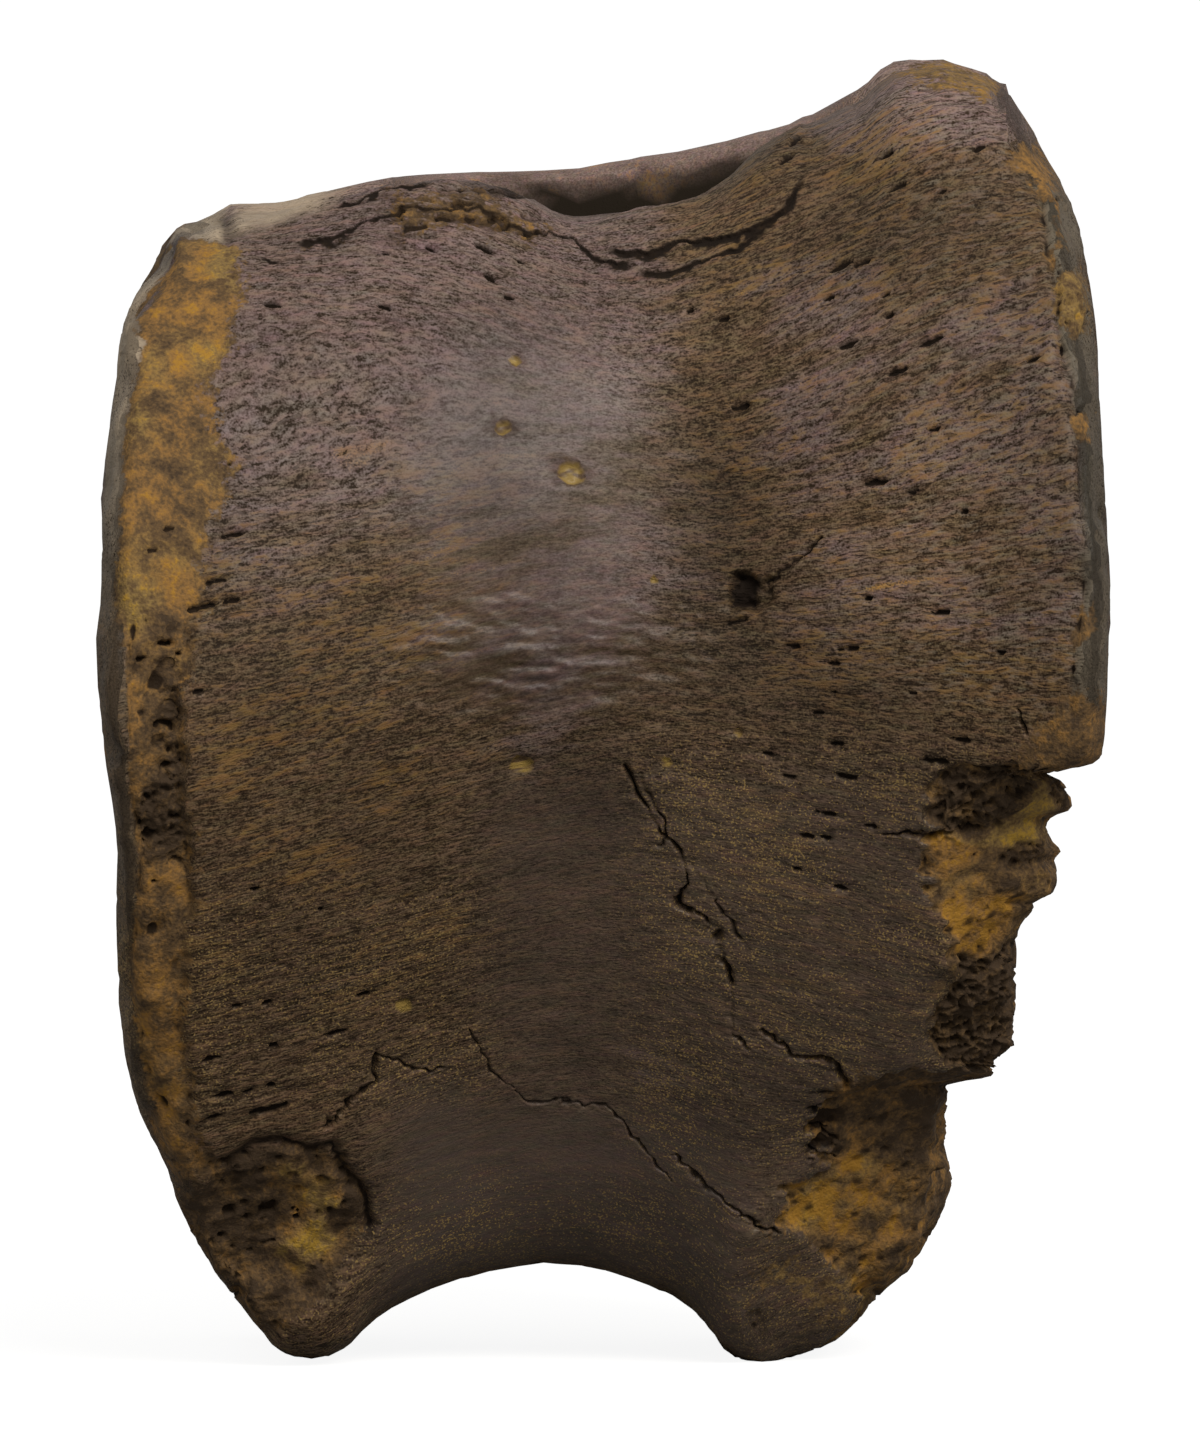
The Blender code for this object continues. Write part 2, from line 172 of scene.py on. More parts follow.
def asPictured(points):
    # where points show to the camera, in millimetres on the upright plane through its aim
    tilt = math.radians(view["elevation"])
    aim = np.array(view["aim"])
    away = points - aim
    depth = view["distance"] + away[:, 1] * math.cos(tilt) - away[:, 2] * math.sin(tilt)
    upward = away[:, 1] * math.sin(tilt) + away[:, 2] * math.cos(tilt)
    spread = view["distance"] / depth
    return away[:, 0] * spread + aim[0], upward * spread + aim[2]


def towardsCamera(facing):
    tilt = math.radians(view["elevation"])
    return facing[:, 2] * math.sin(tilt) - facing[:, 1] * math.cos(tilt)


def nearHalf(points):
    return ease(-2, -7, points[:, 1])


def nearShare(points, facing):
    # 1 on the near flank, 0 on the far wall of the canal and on every hidden side
    return ease(0.02, 0.25, towardsCamera(facing)) * nearHalf(points)


def inSight(points, facing):
    return (towardsCamera(facing) > 0.05) & (points[:, 1] < -4)


# Places on the near side, in millimetres across and up as the camera sees them
bandEdge = (
    (-31.4, 97.0), (-31.1, 94.1), (-31.0, 89.8), (-31.8, 86.4), (-33.1, 83.1), (-33.7, 80.5), (-32.9, 77.2),
    (-31.8, 74.6), (-32.3, 72.1), (-33.8, 69.5), (-34.1, 67.0), (-33.8, 64.9), (-34.5, 62.4), (-35.2, 60.3),
    (-35.2, 57.6), (-36.4, 55.8), (-35.5, 49.8), (-35.5, 45.5), (-35.2, 41.3), (-34.8, 37.4), (-35.2, 33.5),
    (-35.6, 27.4), (-35.2, 19.9), (-34.1, 17.2), (-32.0, 15.5),
)
leftStrip = (
    (-36.3, 93.2), (-38.9, 87.8), (-38.4, 85.3), (-39.8, 82.1), (-40.2, 80.1), (-40.5, 76.4), (-40.8, 72.7),
    (-41.0, 67.7), (-41.0, 62.7), (-40.4, 56.0), (-39.9, 50.1), (-40.2, 44.2), (-39.4, 38.3), (-40.2, 33.2),
    (-39.9, 29.0), (-39.2, 24.8), (-38.5, 20.5),
)
rightGroove = (
    (34.8, 99.3), (36.9, 98.3), (38.1, 93.2), (38.6, 86.4), (39.8, 81.4), (40.4, 76.3), (40.6, 70.4), (40.2, 67.0),
    (40.1, 61.9), (39.7, 56.9), (39.6, 53.9),
)

# Broken edges of the thin sheets along the top: line, height, how far up it fades, groove below it
ledges = (
    (((-8.8, 96.2), (-7.1, 95.3), (-4.5, 94.6), (-2.6, 94.1), (-0.9, 92.7), (1.1, 92.2), (2.7, 92.4)), 0.45, 2.4, 0.5),
    (
        ((0.1, 93.5), (3.6, 92.9), (6.2, 93.9), (11.3, 94.5), (14.4, 96.1), (15.8, 97.5), (16.8, 99.4), (17.1, 101.7)),
        0.6, 3.2, 0.75,
    ),
    (((2.7, 91.6), (5.6, 91.4), (8.3, 92.4), (11.3, 93.6), (13.6, 95.3)), 0.4, 2.0, 0.45),
    (
        ((-26.2, 93.9), (-22.8, 94.4), (-20.5, 95.5), (-17.1, 96.8), (-13.1, 96.8), (-10.4, 96.8), (-8.5, 96.2)),
        0.35, 2.0, 0.55,
    ),
    (((-23.2, 96.8), (-19.4, 97.9), (-14.4, 99.1)), 0.25, 1.6, 0.4),
    (((-29.4, 92.9), (-28.0, 92.3), (-26.9, 92.4)), 0.12, 1.4, 0.35),
)

# Cracks: line, half width, depth, how broken up
cracks = (
    (((2.0, 49.4), (3.1, 47.2), (4.7, 43.8), (6.4, 42.5), (6.9, 39.7), (6.3, 37.9)), 0.28, 0.7, 0.8),
    (((6.3, 37.9), (8.1, 36.9), (9.7, 35.7), (10.0, 33.5), (10.7, 31.5)), 0.42, 0.9, 0.8),
    (((3.2, 48.8), (5.0, 45.4), (5.2, 43.2), (3.2, 42.4)), 0.18, 0.45, 0.8),
    (((7.4, 41.2), (9.2, 38.6), (10.9, 36.4), (12.0, 34.4)), 0.16, 0.4, 0.8),
    (((10.7, 31.5), (10.8, 29.0), (10.7, 26.9), (12.2, 25.9)), 0.25, 0.6, 0.8),
    (((13.2, 27.3), (15.0, 25.9), (15.9, 24.9), (18.4, 24.8), (19.7, 24.1), (20.6, 22.6)), 0.4, 0.85, 0.2),
    (((-11.3, 27.3), (-9.6, 24.3), (-8.8, 23.1), (-6.2, 21.1)), 0.13, 0.25, 0.2),
    (((-6.2, 21.1), (-3.1, 21.3), (0.0, 20.9), (0.9, 20.2), (3.1, 17.4), (5.6, 14.6)), 0.2, 0.5, 0.2),
    (((5.9, 16.7), (7.5, 15.2), (9.1, 13.9), (10.3, 12.7), (11.3, 11.7), (13.1, 10.8), (14.7, 10.1)), 0.27, 0.65, 0.2),
    (((-23.5, 18.9), (-22.3, 20.4), (-20.9, 21.5), (-19.4, 23.0), (-19.2, 25.2)), 0.3, 0.7, 0.2),
    (((-19.2, 25.2), (-17.5, 24.6), (-16.0, 24.0), (-13.5, 23.9)), 0.2, 0.4, 0.2),
    (((23.4, 43.8), (26.2, 43.8), (27.8, 43.3), (32.2, 43.8)), 0.35, 0.9, 0.2),
    (((35.0, 54.3), (35.8, 52.5)), 0.22, 0.6, 0.2),
    (((14.4, 65.3), (15.7, 66.5), (17.2, 67.5), (18.4, 68.9)), 0.16, 0.4, 0.2),
    (((2.3, 96.0), (5.6, 96.1)), 0.12, 0.2, 0.2),
    (((17.3, 20.4), (18.6, 20.5), (19.8, 21.1)), 0.22, 0.6, 0.2),
    (((17.2, 18.6), (18.5, 18.6), (19.8, 17.9)), 0.25, 0.7, 0.2),
    (((17.5, 17.2), (18.7, 16.5), (19.7, 16.2)), 0.22, 0.6, 0.2),
)

# Openings for blood vessels: across, up, radius, how full of yellow sediment
vesselHoles = (
    (-2.7, 74.4, 1.0, 0.75), (-8.5, 78.2, 0.75, 0.8), (-7.5, 83.9, 0.5, 0.9), (-6.8, 49.6, 0.95, 0.85),
    (-16.9, 29.3, 0.62, 1.0), (4.3, 65.3, 0.35, 0.9), (11.3, 52.4, 0.42, 1.0), (5.3, 49.9, 0.4, 1.0),
)
skinHole = ((11.0, 66.2), (12.6, 65.4), (14.3, 65.5), (14.4, 63.9), (12.6, 62.6), (11.2, 62.9), (10.8, 64.4))
skinSlit = ((10.5, 61.6), (12.0, 62.0))

# Dark pores that stand out: across, up, half length along the grain
pores = (
    (7.3, 88.1, 0.5), (10.0, 87.4, 0.65), (19.0, 89.2, 0.6), (23.8, 89.5, 0.55), (24.0, 87.6, 0.55), (20.7, 85.3, 0.9),
    (25.0, 83.1, 1.1), (27.3, 85.4, 1.2), (36.4, 84.1, 0.7), (11.5, 79.9, 0.9), (28.0, 78.1, 0.6), (23.0, 73.6, 1.1),
    (26.2, 72.8, 0.7), (16.8, 95.0, 0.8), (28.6, 98.2, 0.5), (24.7, 98.4, 0.8), (23.9, 101.2, 0.7), (31.9, 101.8, 0.6),
    (16.4, 102.7, 0.7), (15.7, 101.0, 0.8), (38.3, 97.3, 0.7), (20.1, 91.9, 0.9), (21.9, 92.2, 0.7), (22.5, 63.8, 0.6),
    (39.6, 65.0, 0.5), (30.4, 71.1, 0.5), (28.7, 62.6, 0.9), (33.6, 59.2, 0.6), (15.9, 59.8, 0.6), (20.8, 59.5, 1.1),
    (19.5, 58.3, 0.5), (19.4, 55.8, 0.5), (26.1, 55.8, 0.5), (18.1, 54.1, 0.5), (19.7, 51.5, 0.7), (13.9, 50.6, 0.7),
    (15.7, 48.7, 0.8), (20.5, 48.7, 0.8), (28.0, 50.0, 1.2), (31.5, 49.4, 1.2), (30.3, 51.8, 0.7), (18.4, 45.6, 1.0),
    (22.4, 44.5, 1.0), (17.3, 43.6, 0.6), (18.8, 43.5, 0.7), (20.0, 39.3, 0.6), (16.2, 40.9, 0.4), (-27.9, 88.6, 0.7),
    (-18.4, 92.9, 0.4), (-14.7, 93.5, 0.5), (-10.0, 93.3, 1.0), (-7.0, 92.2, 0.4), (-9.5, 90.9, 0.5),
    (-8.0, 89.3, 0.4), (-18.4, 88.3, 0.6), (-31.2, 69.2, 1.1), (-32.5, 65.3, 1.1), (-31.2, 63.6, 0.8),
    (-34.2, 63.0, 1.2), (-38.1, 67.8, 0.5), (-36.6, 69.7, 0.5), (-34.2, 55.9, 0.6), (-29.5, 39.2, 0.5),
    (-23.9, 37.4, 0.4), (-30.9, 29.3, 0.6), (-28.4, 29.5, 0.8), (-20.3, 30.3, 0.6), (-22.8, 27.0, 1.1),
    (-32.9, 24.9, 0.9), (-31.8, 21.8, 1.0), (-30.1, 22.0, 0.9), (-28.1, 20.6, 1.8), (-33.0, 19.9, 0.8),
    (-28.0, 22.6, 0.4), (-27.8, 26.0, 0.4),
)

# Patches of colour and of broken surface
orangeUpper = ((27.0, 43.1), (30.0, 43.0), (31.8, 42.4), (31.2, 41.0), (28.5, 40.4), (27.1, 40.6))
orangeLower = (
    (28.4, 37.9), (30.5, 38.3), (33.5, 38.7), (36.0, 38.5), (35.2, 37.0), (34.3, 35.3), (32.6, 33.6), (31.4, 32.4),
    (29.7, 34.1), (28.8, 36.2),
)
ochreBand = (
    (27.1, 43.1), (32.2, 43.5), (34.3, 44.9), (36.0, 46.7), (36.9, 48.4), (37.9, 48.6), (38.2, 47.6), (37.5, 45.9),
    (37.7, 44.2), (36.9, 42.9), (34.3, 42.5), (32.2, 43.1), (30.1, 42.5),
)
spongyUpper = (
    (28.0, 47.6), (28.8, 49.3), (31.4, 48.9), (32.6, 49.7), (36.0, 49.3), (37.3, 48.8), (36.4, 47.6), (35.6, 46.3),
    (34.3, 45.0), (32.2, 44.0), (30.1, 43.8), (28.0, 44.6), (27.1, 45.9),
)
spongyTip = ((37.8, 48.8), (40.2, 48.0), (40.0, 45.9), (38.3, 45.2), (37.5, 46.8))
spongyMiddle = ((33.5, 42.5), (36.0, 42.9), (39.0, 43.2), (38.9, 41.2), (35.0, 40.6), (33.0, 41.2))
spongyLower = (
    (30.1, 32.8), (32.8, 33.0), (35.5, 34.7), (35.4, 26.0), (33.6, 23.5), (29.3, 23.7), (27.7, 26.0), (27.7, 29.0),
    (29.1, 30.7), (30.5, 31.7),
)
brokenEdge = (
    (39.8, 49.3), (36.4, 49.2), (34.3, 49.8), (32.2, 49.4), (30.1, 49.9), (28.0, 48.8), (27.1, 47.4), (27.6, 46.2),
    (26.6, 45.5), (28.4, 44.2), (27.1, 43.1), (27.1, 41.0), (27.9, 38.7), (28.8, 36.2), (29.7, 33.6), (30.3, 31.9),
    (29.3, 30.7), (28.2, 29.4), (27.6, 27.3), (28.0, 25.4), (29.3, 23.9), (32.6, 22.6), (46.0, 22.6), (46.0, 49.3),
)
ochreLow = (
    (21.2, 21.7), (25.0, 22.6), (30.8, 22.2), (30.8, 17.5), (31.5, 13.8), (28.2, 6.9), (24.2, 3.7), (20.8, 5.3),
    (17.9, 9.6), (15.0, 10.6), (15.6, 13.9), (17.7, 14.8), (19.5, 15.4), (19.1, 17.2), (17.5, 19.4),
)
darkLow = (
    (19.0, 22.5), (22.0, 23.8), (30.5, 23.5), (30.5, 17.5), (24.5, 16.0), (21.5, 17.0), (19.8, 15.6), (18.3, 17.5),
    (19.4, 20.0),
)
paleLow = ((13.4, 7.6), (16.5, 8.3), (19.5, 6.6), (21.5, 4.0), (19.0, 2.6), (16.5, 4.5), (13.5, 6.0))
hollowGlow = (
    (-27.9, 15.4), (-25.8, 16.4), (-23.6, 15.0), (-22.9, 12.0), (-22.2, 9.0), (-23.6, 7.2), (-26.5, 7.0), (-27.4, 9.5),
    (-25.2, 11.5),
)
hollowRidge = (
    (-31.5, 16.0), (-29.6, 17.3), (-27.0, 17.6), (-25.0, 16.9), (-22.9, 17.3), (-21.6, 15.0), (-20.2, 13.6),
    (-19.8, 10.6),
)
wornHollow = (
    (-32.7, 15.3), (-31.1, 16.3), (-28.9, 16.3), (-27.0, 17.2), (-24.6, 17.2), (-22.2, 16.5), (-20.1, 14.2),
    (-20.4, 11.7), (-21.3, 8.7), (-23.1, 5.3), (-25.7, 2.8), (-28.9, 1.9), (-31.2, 4.5), (-34.7, 9.1), (-36.0, 12.9),
)
cornerRust = (
    (34.0, 51.0), (36.4, 52.3), (38.6, 55.0), (40.2, 56.2), (43.4, 56.0), (44.5, 51.4), (43.5, 48.0), (34.5, 49.3),
)
brokenSkin = (
    (23.3, 23.7), (21.2, 21.7), (18.9, 21.1), (17.5, 19.4), (17.7, 17.7), (19.3, 16.5), (17.3, 16.7), (19.5, 15.4),
    (17.7, 14.8), (15.6, 13.9), (15.0, 10.6), (17.9, 9.0), (23.0, 3.0), (40, 0), (40, 23.5),
)

# Smaller patches: splintered skin, rust, paler and darker places and the spongy part of the left band; the pale corner
# is a painted highlight, the canal shade and its nook painted shade
splinteredSkin = (
    (16.6, 21.6), (19.4, 22.6), (20.6, 20.6), (19.8, 18.6), (19.6, 16.4), (17.6, 15.8), (16.8, 17.8), (17.6, 19.6),
)
rimRust = ((34.8, 101.7), (36.9, 102.0), (38.4, 100.0), (39.2, 97.9), (37.3, 98.7), (35.3, 99.8))
rimPits = ((38.1, 91.1), (40.7, 91.5), (41.3, 86.4), (39.8, 85.6), (38.4, 87.3))
ledgeRust = (
    (-18.1, 97.4), (-13.0, 98.5), (-9.0, 98.6), (-7.6, 96.6), (-4.2, 94.8), (-7.0, 94.3), (-12.0, 95.2), (-17.5, 94.6),
)
# painted highlight on the upper left corner of the rim
paleCorner = ((-31.8, 96.0), (-30.8, 98.0), (-24.0, 99.2), (-20.5, 99.6), (-24.0, 97.2), (-27.5, 96.0), (-30.6, 95.2))
rimNotch = ((-32.8, 96.9), (-31.2, 96.3), (-30.7, 94.7), (-31.5, 94.2), (-32.3, 95.2))
knobRust = ((23.8, 108.0), (27.6, 110.0), (31.4, 109.5), (34.4, 107.4), (32.6, 106.1), (27.6, 107.5))
bandSponge = ((-37.6, 59.5), (-35.2, 57.5), (-34.6, 49.0), (-35.2, 41.0), (-38.8, 41.5), (-39.2, 46.0), (-37.2, 50.5))
canalShade = (
    (-14.7, 98.6), (-10.5, 98.3), (-6.2, 98.1), (-2.0, 98.3), (3.1, 98.5), (7.3, 99.1), (9.8, 99.8), (11.9, 100.8),
)
darkNook = ((-10.3, 99.1), (-6.5, 98.9), (-6.5, 98.1), (-7.8, 97.9), (-9.6, 98.4))

# Pits of the left band and of the worn hollow: across, up, half length
bandPits = (
    (-36.9, 53.2, 0.9), (-36.9, 49.3, 0.9), (-35.6, 49.7, 0.8), (-36.2, 45.0, 0.8), (-38.3, 46.6, 0.7),
    (-38.4, 43.3, 1.0), (-39.5, 44.2, 0.7), (-35.6, 41.2, 0.8), (-37.7, 39.6, 0.7), (-36.9, 60.0, 0.8),
    (-35.6, 59.1, 0.8), (-38.8, 58.7, 0.9), (-31.4, 12.0, 0.8), (-30.1, 11.3, 0.7), (-28.3, 11.9, 1.3),
    (-31.9, 9.8, 0.7), (-26.3, 11.7, 0.6), (-26.1, 11.1, 0.6), (-28.0, 9.2, 0.6), (-31.5, 75.2, 0.5),
)

# Outline against the background, edge by edge
outlineRight = (
    (34.0, 106.7), (35.2, 105.0), (36.3, 103.3), (37.0, 101.7), (37.5, 100.8), (38.0, 100.0), (38.6, 99.1),
    (39.4, 97.4), (40.0, 95.7), (40.4, 94.1), (40.7, 92.4), (41.0, 90.7), (41.3, 89.0), (41.7, 85.6), (41.9, 80.5),
    (42.2, 75.5), (42.4, 72.1), (42.6, 68.7), (42.8, 65.3), (42.8, 61.9), (42.7, 60.3), (42.5, 55.2), (42.3, 51.8),
    (42.1, 50.8), (41.8, 50.1), (41.3, 49.8), (40.7, 49.5), (39.7, 49.4), (39.1, 49.2), (38.2, 49.1), (38.3, 48.8),
    (38.8, 48.6), (38.8, 48.3), (39.1, 47.6), (39.5, 46.7), (39.5, 46.1), (39.1, 45.7), (38.1, 45.4), (37.8, 45.1),
    (37.5, 44.4), (37.6, 43.9), (37.9, 43.2), (38.5, 42.8), (38.6, 42.3), (38.1, 41.8), (38.3, 40.8), (38.3, 39.6),
    (38.0, 38.9), (37.7, 38.6), (37.2, 38.4), (36.5, 38.1), (36.3, 37.4), (35.7, 36.6), (35.0, 35.7), (34.9, 34.5),
    (34.8, 29.0), (34.6, 28.1), (34.7, 26.2), (34.4, 25.7), (33.7, 25.2), (33.2, 24.7), (33.1, 23.9), (32.7, 23.4),
    (32.4, 23.1), (29.4, 22.9), (29.1, 22.2), (29.0, 20.7), (28.8, 20.0), (29.0, 19.4), (28.8, 17.3), (29.1, 16.3),
    (29.5, 14.6), (29.3, 13.8), (28.7, 12.1), (27.9, 10.4), (26.8, 8.7), (25.8, 7.0), (24.9, 6.2), (23.8, 5.3),
    (23.1, 4.5), (21.7, 2.8),
)
outlineLeft = (
    (-35.2, 95.4), (-36.2, 94.9), (-36.7, 94.4), (-37.3, 93.4), (-37.8, 92.4), (-38.3, 91.3), (-39.0, 90.3),
    (-39.6, 89.3), (-40.2, 88.1), (-40.7, 86.4), (-41.0, 84.8), (-41.2, 82.2), (-41.7, 78.8), (-42.1, 75.5),
    (-42.5, 72.1), (-42.4, 68.7), (-42.5, 63.6), (-42.8, 61.1), (-42.9, 60.3), (-42.8, 56.9), (-42.6, 55.2),
    (-42.3, 51.8), (-41.8, 48.4), (-41.3, 45.0), (-41.1, 42.5), (-41.2, 38.3), (-41.2, 35.7), (-41.1, 33.2),
    (-41.0, 29.8), (-40.6, 26.5), (-40.4, 24.8), (-40.0, 23.1), (-39.6, 21.4), (-38.9, 19.7), (-38.1, 18.0),
    (-37.1, 16.3), (-36.6, 14.6), (-36.1, 12.9), (-35.0, 10.4), (-33.4, 7.9), (-32.4, 6.2), (-31.1, 4.5), (-29.9, 2.8),
)
outlineTop = (
    (-35.5, 95.3), (-34.1, 95.7), (-32.8, 96.3), (-32.1, 96.8), (-31.4, 97.1), (-27.4, 97.2), (-26.0, 97.5),
    (-24.7, 97.9), (-22.3, 98.4), (-19.8, 99.0), (-17.2, 99.4), (-14.7, 99.6), (-10.9, 99.8), (-5.8, 99.9),
    (-2.0, 100.1), (0.5, 100.6), (4.3, 101.2), (8.1, 101.8), (11.9, 102.8), (15.7, 103.8), (18.3, 104.9),
    (20.8, 106.3), (22.1, 107.2), (23.3, 108.3), (24.6, 109.1), (25.9, 109.3), (28.4, 109.3), (29.7, 108.9),
    (30.9, 108.6), (32.2, 108.2), (33.5, 107.2),
)
outlineBottom = (
    (-32.4, 6.2), (-31.6, 5.0), (-30.7, 4.2), (-29.9, 2.9), (-29.0, 1.9), (-28.2, 0.8), (-27.4, 0.2), (-26.5, -0.2),
    (-24.8, -0.5), (-23.1, -0.2), (-22.3, 0.3), (-21.4, 0.8), (-20.6, 1.7), (-18.9, 3.2), (-17.2, 4.2), (-14.7, 5.4),
    (-12.1, 6.3), (-8.8, 7.1), (-5.4, 7.6), (-2.0, 7.4), (0.5, 6.9), (3.1, 6.0), (5.6, 5.0), (7.3, 3.9), (8.1, 3.0),
    (9.0, 1.9), (9.8, 0.7), (10.7, -0.1), (11.5, -0.5), (13.2, -0.9), (14.9, -0.7), (16.6, -0.1), (18.3, 0.5),
    (20.0, 1.4), (21.7, 3.0), (23.3, 5.0),
)

# Across and up: the upper end of the smoothed flank and of the worn band. Up and how light: the worn band
smoothTop = (
    (-30, 97.0), (-22, 98.3), (-14, 99.6), (-8, 99.4), (-6, 98.0), (-3, 96.6), (4, 95.9), (8, 96.4), (12, 99.5),
    (17, 102),
)
bandTop = ((-39, 90), (-36.7, 93.2), (-34.2, 95.0), (-32.4, 94.6), (-31.4, 93.7))
bandTones = (
    (13, 0.44), (20, 0.5), (28, 0.6), (40, 0.52), (52, 0.47), (59, 0.4), (61.5, 0.44), (63, 0.74), (66.5, 0.74),
    (68, 0.5), (74, 0.52), (79, 0.54), (83, 0.66), (97, 0.6),
)

# Wide soft areas that are lighter or darker, painted shade right of the waist and under its ridge among them, the rest
# tones of the bone: across, up, their half widths, amount
tonesAndPaintedShade = (
    (0, 47, 7, 6, -0.33), (9, 71.5, 5, 10, -0.3), (-8, 75, 8, 8, -0.18), (26, 68, 9, 11, 0.4), (28, 105, 8, 6, 0.42),
    (-9, 75, 7, 6, -0.12), (-5, 57.5, 12, 4.5, -0.34), (-5, 69, 6, 6, -0.1), (21, 57, 8, 6, -0.2),
    (27, 96, 9, 7, -0.15), (18, 36, 8, 8, -0.1), (42, 75, 2.5, 30, -0.3), (24, 96, 12, 6, -0.15),
    (15, 57, 12, 8, -0.08), (-26, 6, 8, 5, -0.15), (22, 54, 6, 4, -0.15), (-41, 50, 2, 10, -0.1),
    (-3, 95.5, 14, 3, 0.25), (-24, 84, 9, 10, 0.08), (-8, 14, 12, 7, 0.12),
)

# How the skin is made, then how far each form stands out or goes in, in millimetres
bone = {
    "voxel": 0.92, "softening": 7, "smoothing": 70, "outlineStep": 0.3, "mostTriangles": 197000, "spared": 0.85,
    "unevenness": 0.16, "waves": 0.05, "ripples": 0.17, "fibres": 0.1, "slits": 0.1, "grit": 0.05,
    "bandGroove": 0.35, "stripGroove": 0.3, "rimGroove": 0.4, "rimStrip": 0.15, "rimLip": 0.12,
    "rimHoles": 0.45, "rimPits": 0.5, "lostSkin": 0.6, "lostEdge": 0.55, "splinters": 0.3,
    "hollowRidge": 0.6, "nook": 0.9, "notch": 0.5, "gaps": 0.6, "sheetRise": 0.1, "sheetDrop": 0.42,
    "sediment": 0.22, "skinHole": 1.1, "skinSlit": 0.6, "pore": 0.45, "pit": 0.85,
    "rings": 0.22, "chips": 0.5, "hiddenPores": 0.3, "hiddenSlits": 0.5,
}

# How the fibres run: level along a line at the right and at the left, and spread away from the waist
fibreRun = {
    "waist": 3.06, "rounding": 8, "rightLevel": 60.3, "rightSpread": 0.013,
    "leftLevel": 84.8, "leftRange": 30, "leftSpread": 0.0125, "swoops": (7.5, 2.2),
    "inward": 0.0065, "middle": 55, "girth": 45,
}


def placed(name, data):
    made = bpy.data.objects.new(name, data)
    bpy.context.scene.collection.objects.link(made)
    return made


def evaluatedCopy(piece, name):
    bpy.context.view_layer.update()
    made = bpy.data.meshes.new_from_object(piece.evaluated_get(bpy.context.evaluated_depsgraph_get()))
    made.name = name
    return made


def readVectors(items, name):
    values = np.empty(len(items) * 3)
    items.foreach_get(name, values)
    return values.reshape(-1, 3)


def vertexArrays(mesh):
    return readVectors(mesh.vertices, "co") / mm, readVectors(mesh.vertex_normals, "vector")


def faceArrays(mesh):
    return readVectors(mesh.polygons, "center") / mm, readVectors(mesh.polygons, "normal")


def triangleCount(mesh):
    return sum(len(face.vertices) - 2 for face in mesh.polygons)


def placeVertices(mesh, points):
    mesh.vertices.foreach_set("co", (points * mm).astype(np.float32).ravel())
    mesh.update()


def neighbourLinks(mesh):
    ends = np.empty(len(mesh.edges) * 2, np.int64)
    mesh.edges.foreach_get("vertices", ends)
    return ends[::2], ends[1::2], np.bincount(ends, minlength=len(mesh.vertices))


def pullOf(values, links):
    # from each vertex's values to the mean of its neighbours'
    first, second, meeting = links
    pull = np.empty_like(values)
    for column in range(values.shape[1]):
        sums = np.bincount(first, weights=values[second, column], minlength=len(values))
        sums += np.bincount(second, weights=values[first, column], minlength=len(values))
        pull[:, column] = sums / meeting - values[:, column]
    return pull


def soften(mesh, rounds):
    # rounds off facets without shrinking the shape, by a step in and a slightly longer one out
    links = neighbourLinks(mesh)
    points = vertexArrays(mesh)[0]
    for step in range(2 * rounds):
        points = points + pullOf(points, links) * (0.6 if step % 2 == 0 else -0.62)
    placeVertices(mesh, points)


def splitFaces(mesh, chosen):
    # cuts each chosen face in four
    bm = bmesh.new()
    bm.from_mesh(mesh)
    bm.faces.ensure_lookup_table()
    edges = {edge for number in chosen for edge in bm.faces[number].edges}
    bmesh.ops.subdivide_edges(bm, edges=sorted(edges, key=lambda edge: edge.index), cuts=1, use_grid_fill=True)
    bm.to_mesh(mesh)
    bm.free()


def grainLine(x, z):
    # height at the waist of the fibre that passes through a place
    run = fibreRun
    reach = np.hypot(run["rounding"], x - run["waist"]) - run["rounding"]
    left, right = run["swoops"]
    swoop = np.where(x < 3, left, right) * (1 - np.exp(-(((x - 3) / 15) ** 2))) * ease(74, 93, z)
    right = run["rightLevel"] + (z - run["rightLevel"]) * np.exp(-run["rightSpread"] * reach)
    lean = run["leftRange"] * np.tanh((z - run["leftLevel"]) / run["leftRange"])
    left = z + lean * (np.exp(-run["leftSpread"] * reach) - 1)
    return np.where(x > run["waist"], right, left) - swoop


def grainPlaces(points):
    # along the fibres in x, and round the bone in y and z
    run = fibreRun
    x, y, z = points.T
    line = grainLine(x, z) - run["middle"]
    inward = y * np.exp(-run["inward"] * (np.hypot(run["rounding"], x - run["waist"]) - run["rounding"]))
    middle = np.maximum(np.hypot(inward, line), 1e-3)
    wave = 0.1 * lumps(points, 2.6, 92, 2)
    along = 0.7 * x + 2.4 * np.tanh(x / 8)
    return np.stack([along, run["girth"] * inward / middle + wave, run["girth"] * line / middle + wave], axis=1)


def alongGrain(x, z, atX, atZ):
    # offsets along and across the fibres from a place
    sides = grainLine(np.array([atX + 0.5, atX - 0.5, atX, atX]), np.array([atZ, atZ, atZ + 0.5, atZ - 0.5]))
    slopeX, slopeZ = sides[0] - sides[1], sides[2] - sides[3]
    size = math.hypot(slopeX, slopeZ)
    alongX, alongZ = slopeZ / size, -slopeX / size
    dx, dz = x - atX, z - atZ
    return dx * alongX + dz * alongZ, dz * alongX - dx * alongZ


def nearLines(points, facing, lift, besideSheet, besideCrack):
    # whether places in sight lie close to a broken sheet or a crack
    x, z = asPictured(points)
    close = np.zeros(x.shape, bool)
    for line, *_ in ledges:
        close |= lineDistance(x, z - lift, line) < besideSheet
    for line, halfWidth, *_ in cracks:
        close |= lineDistance(x, z, line) < halfWidth + besideCrack
    return close & inSight(points, facing)


def onLine(points, facing):
    return nearLines(points, facing, 0.1, 0.5, 0.25)


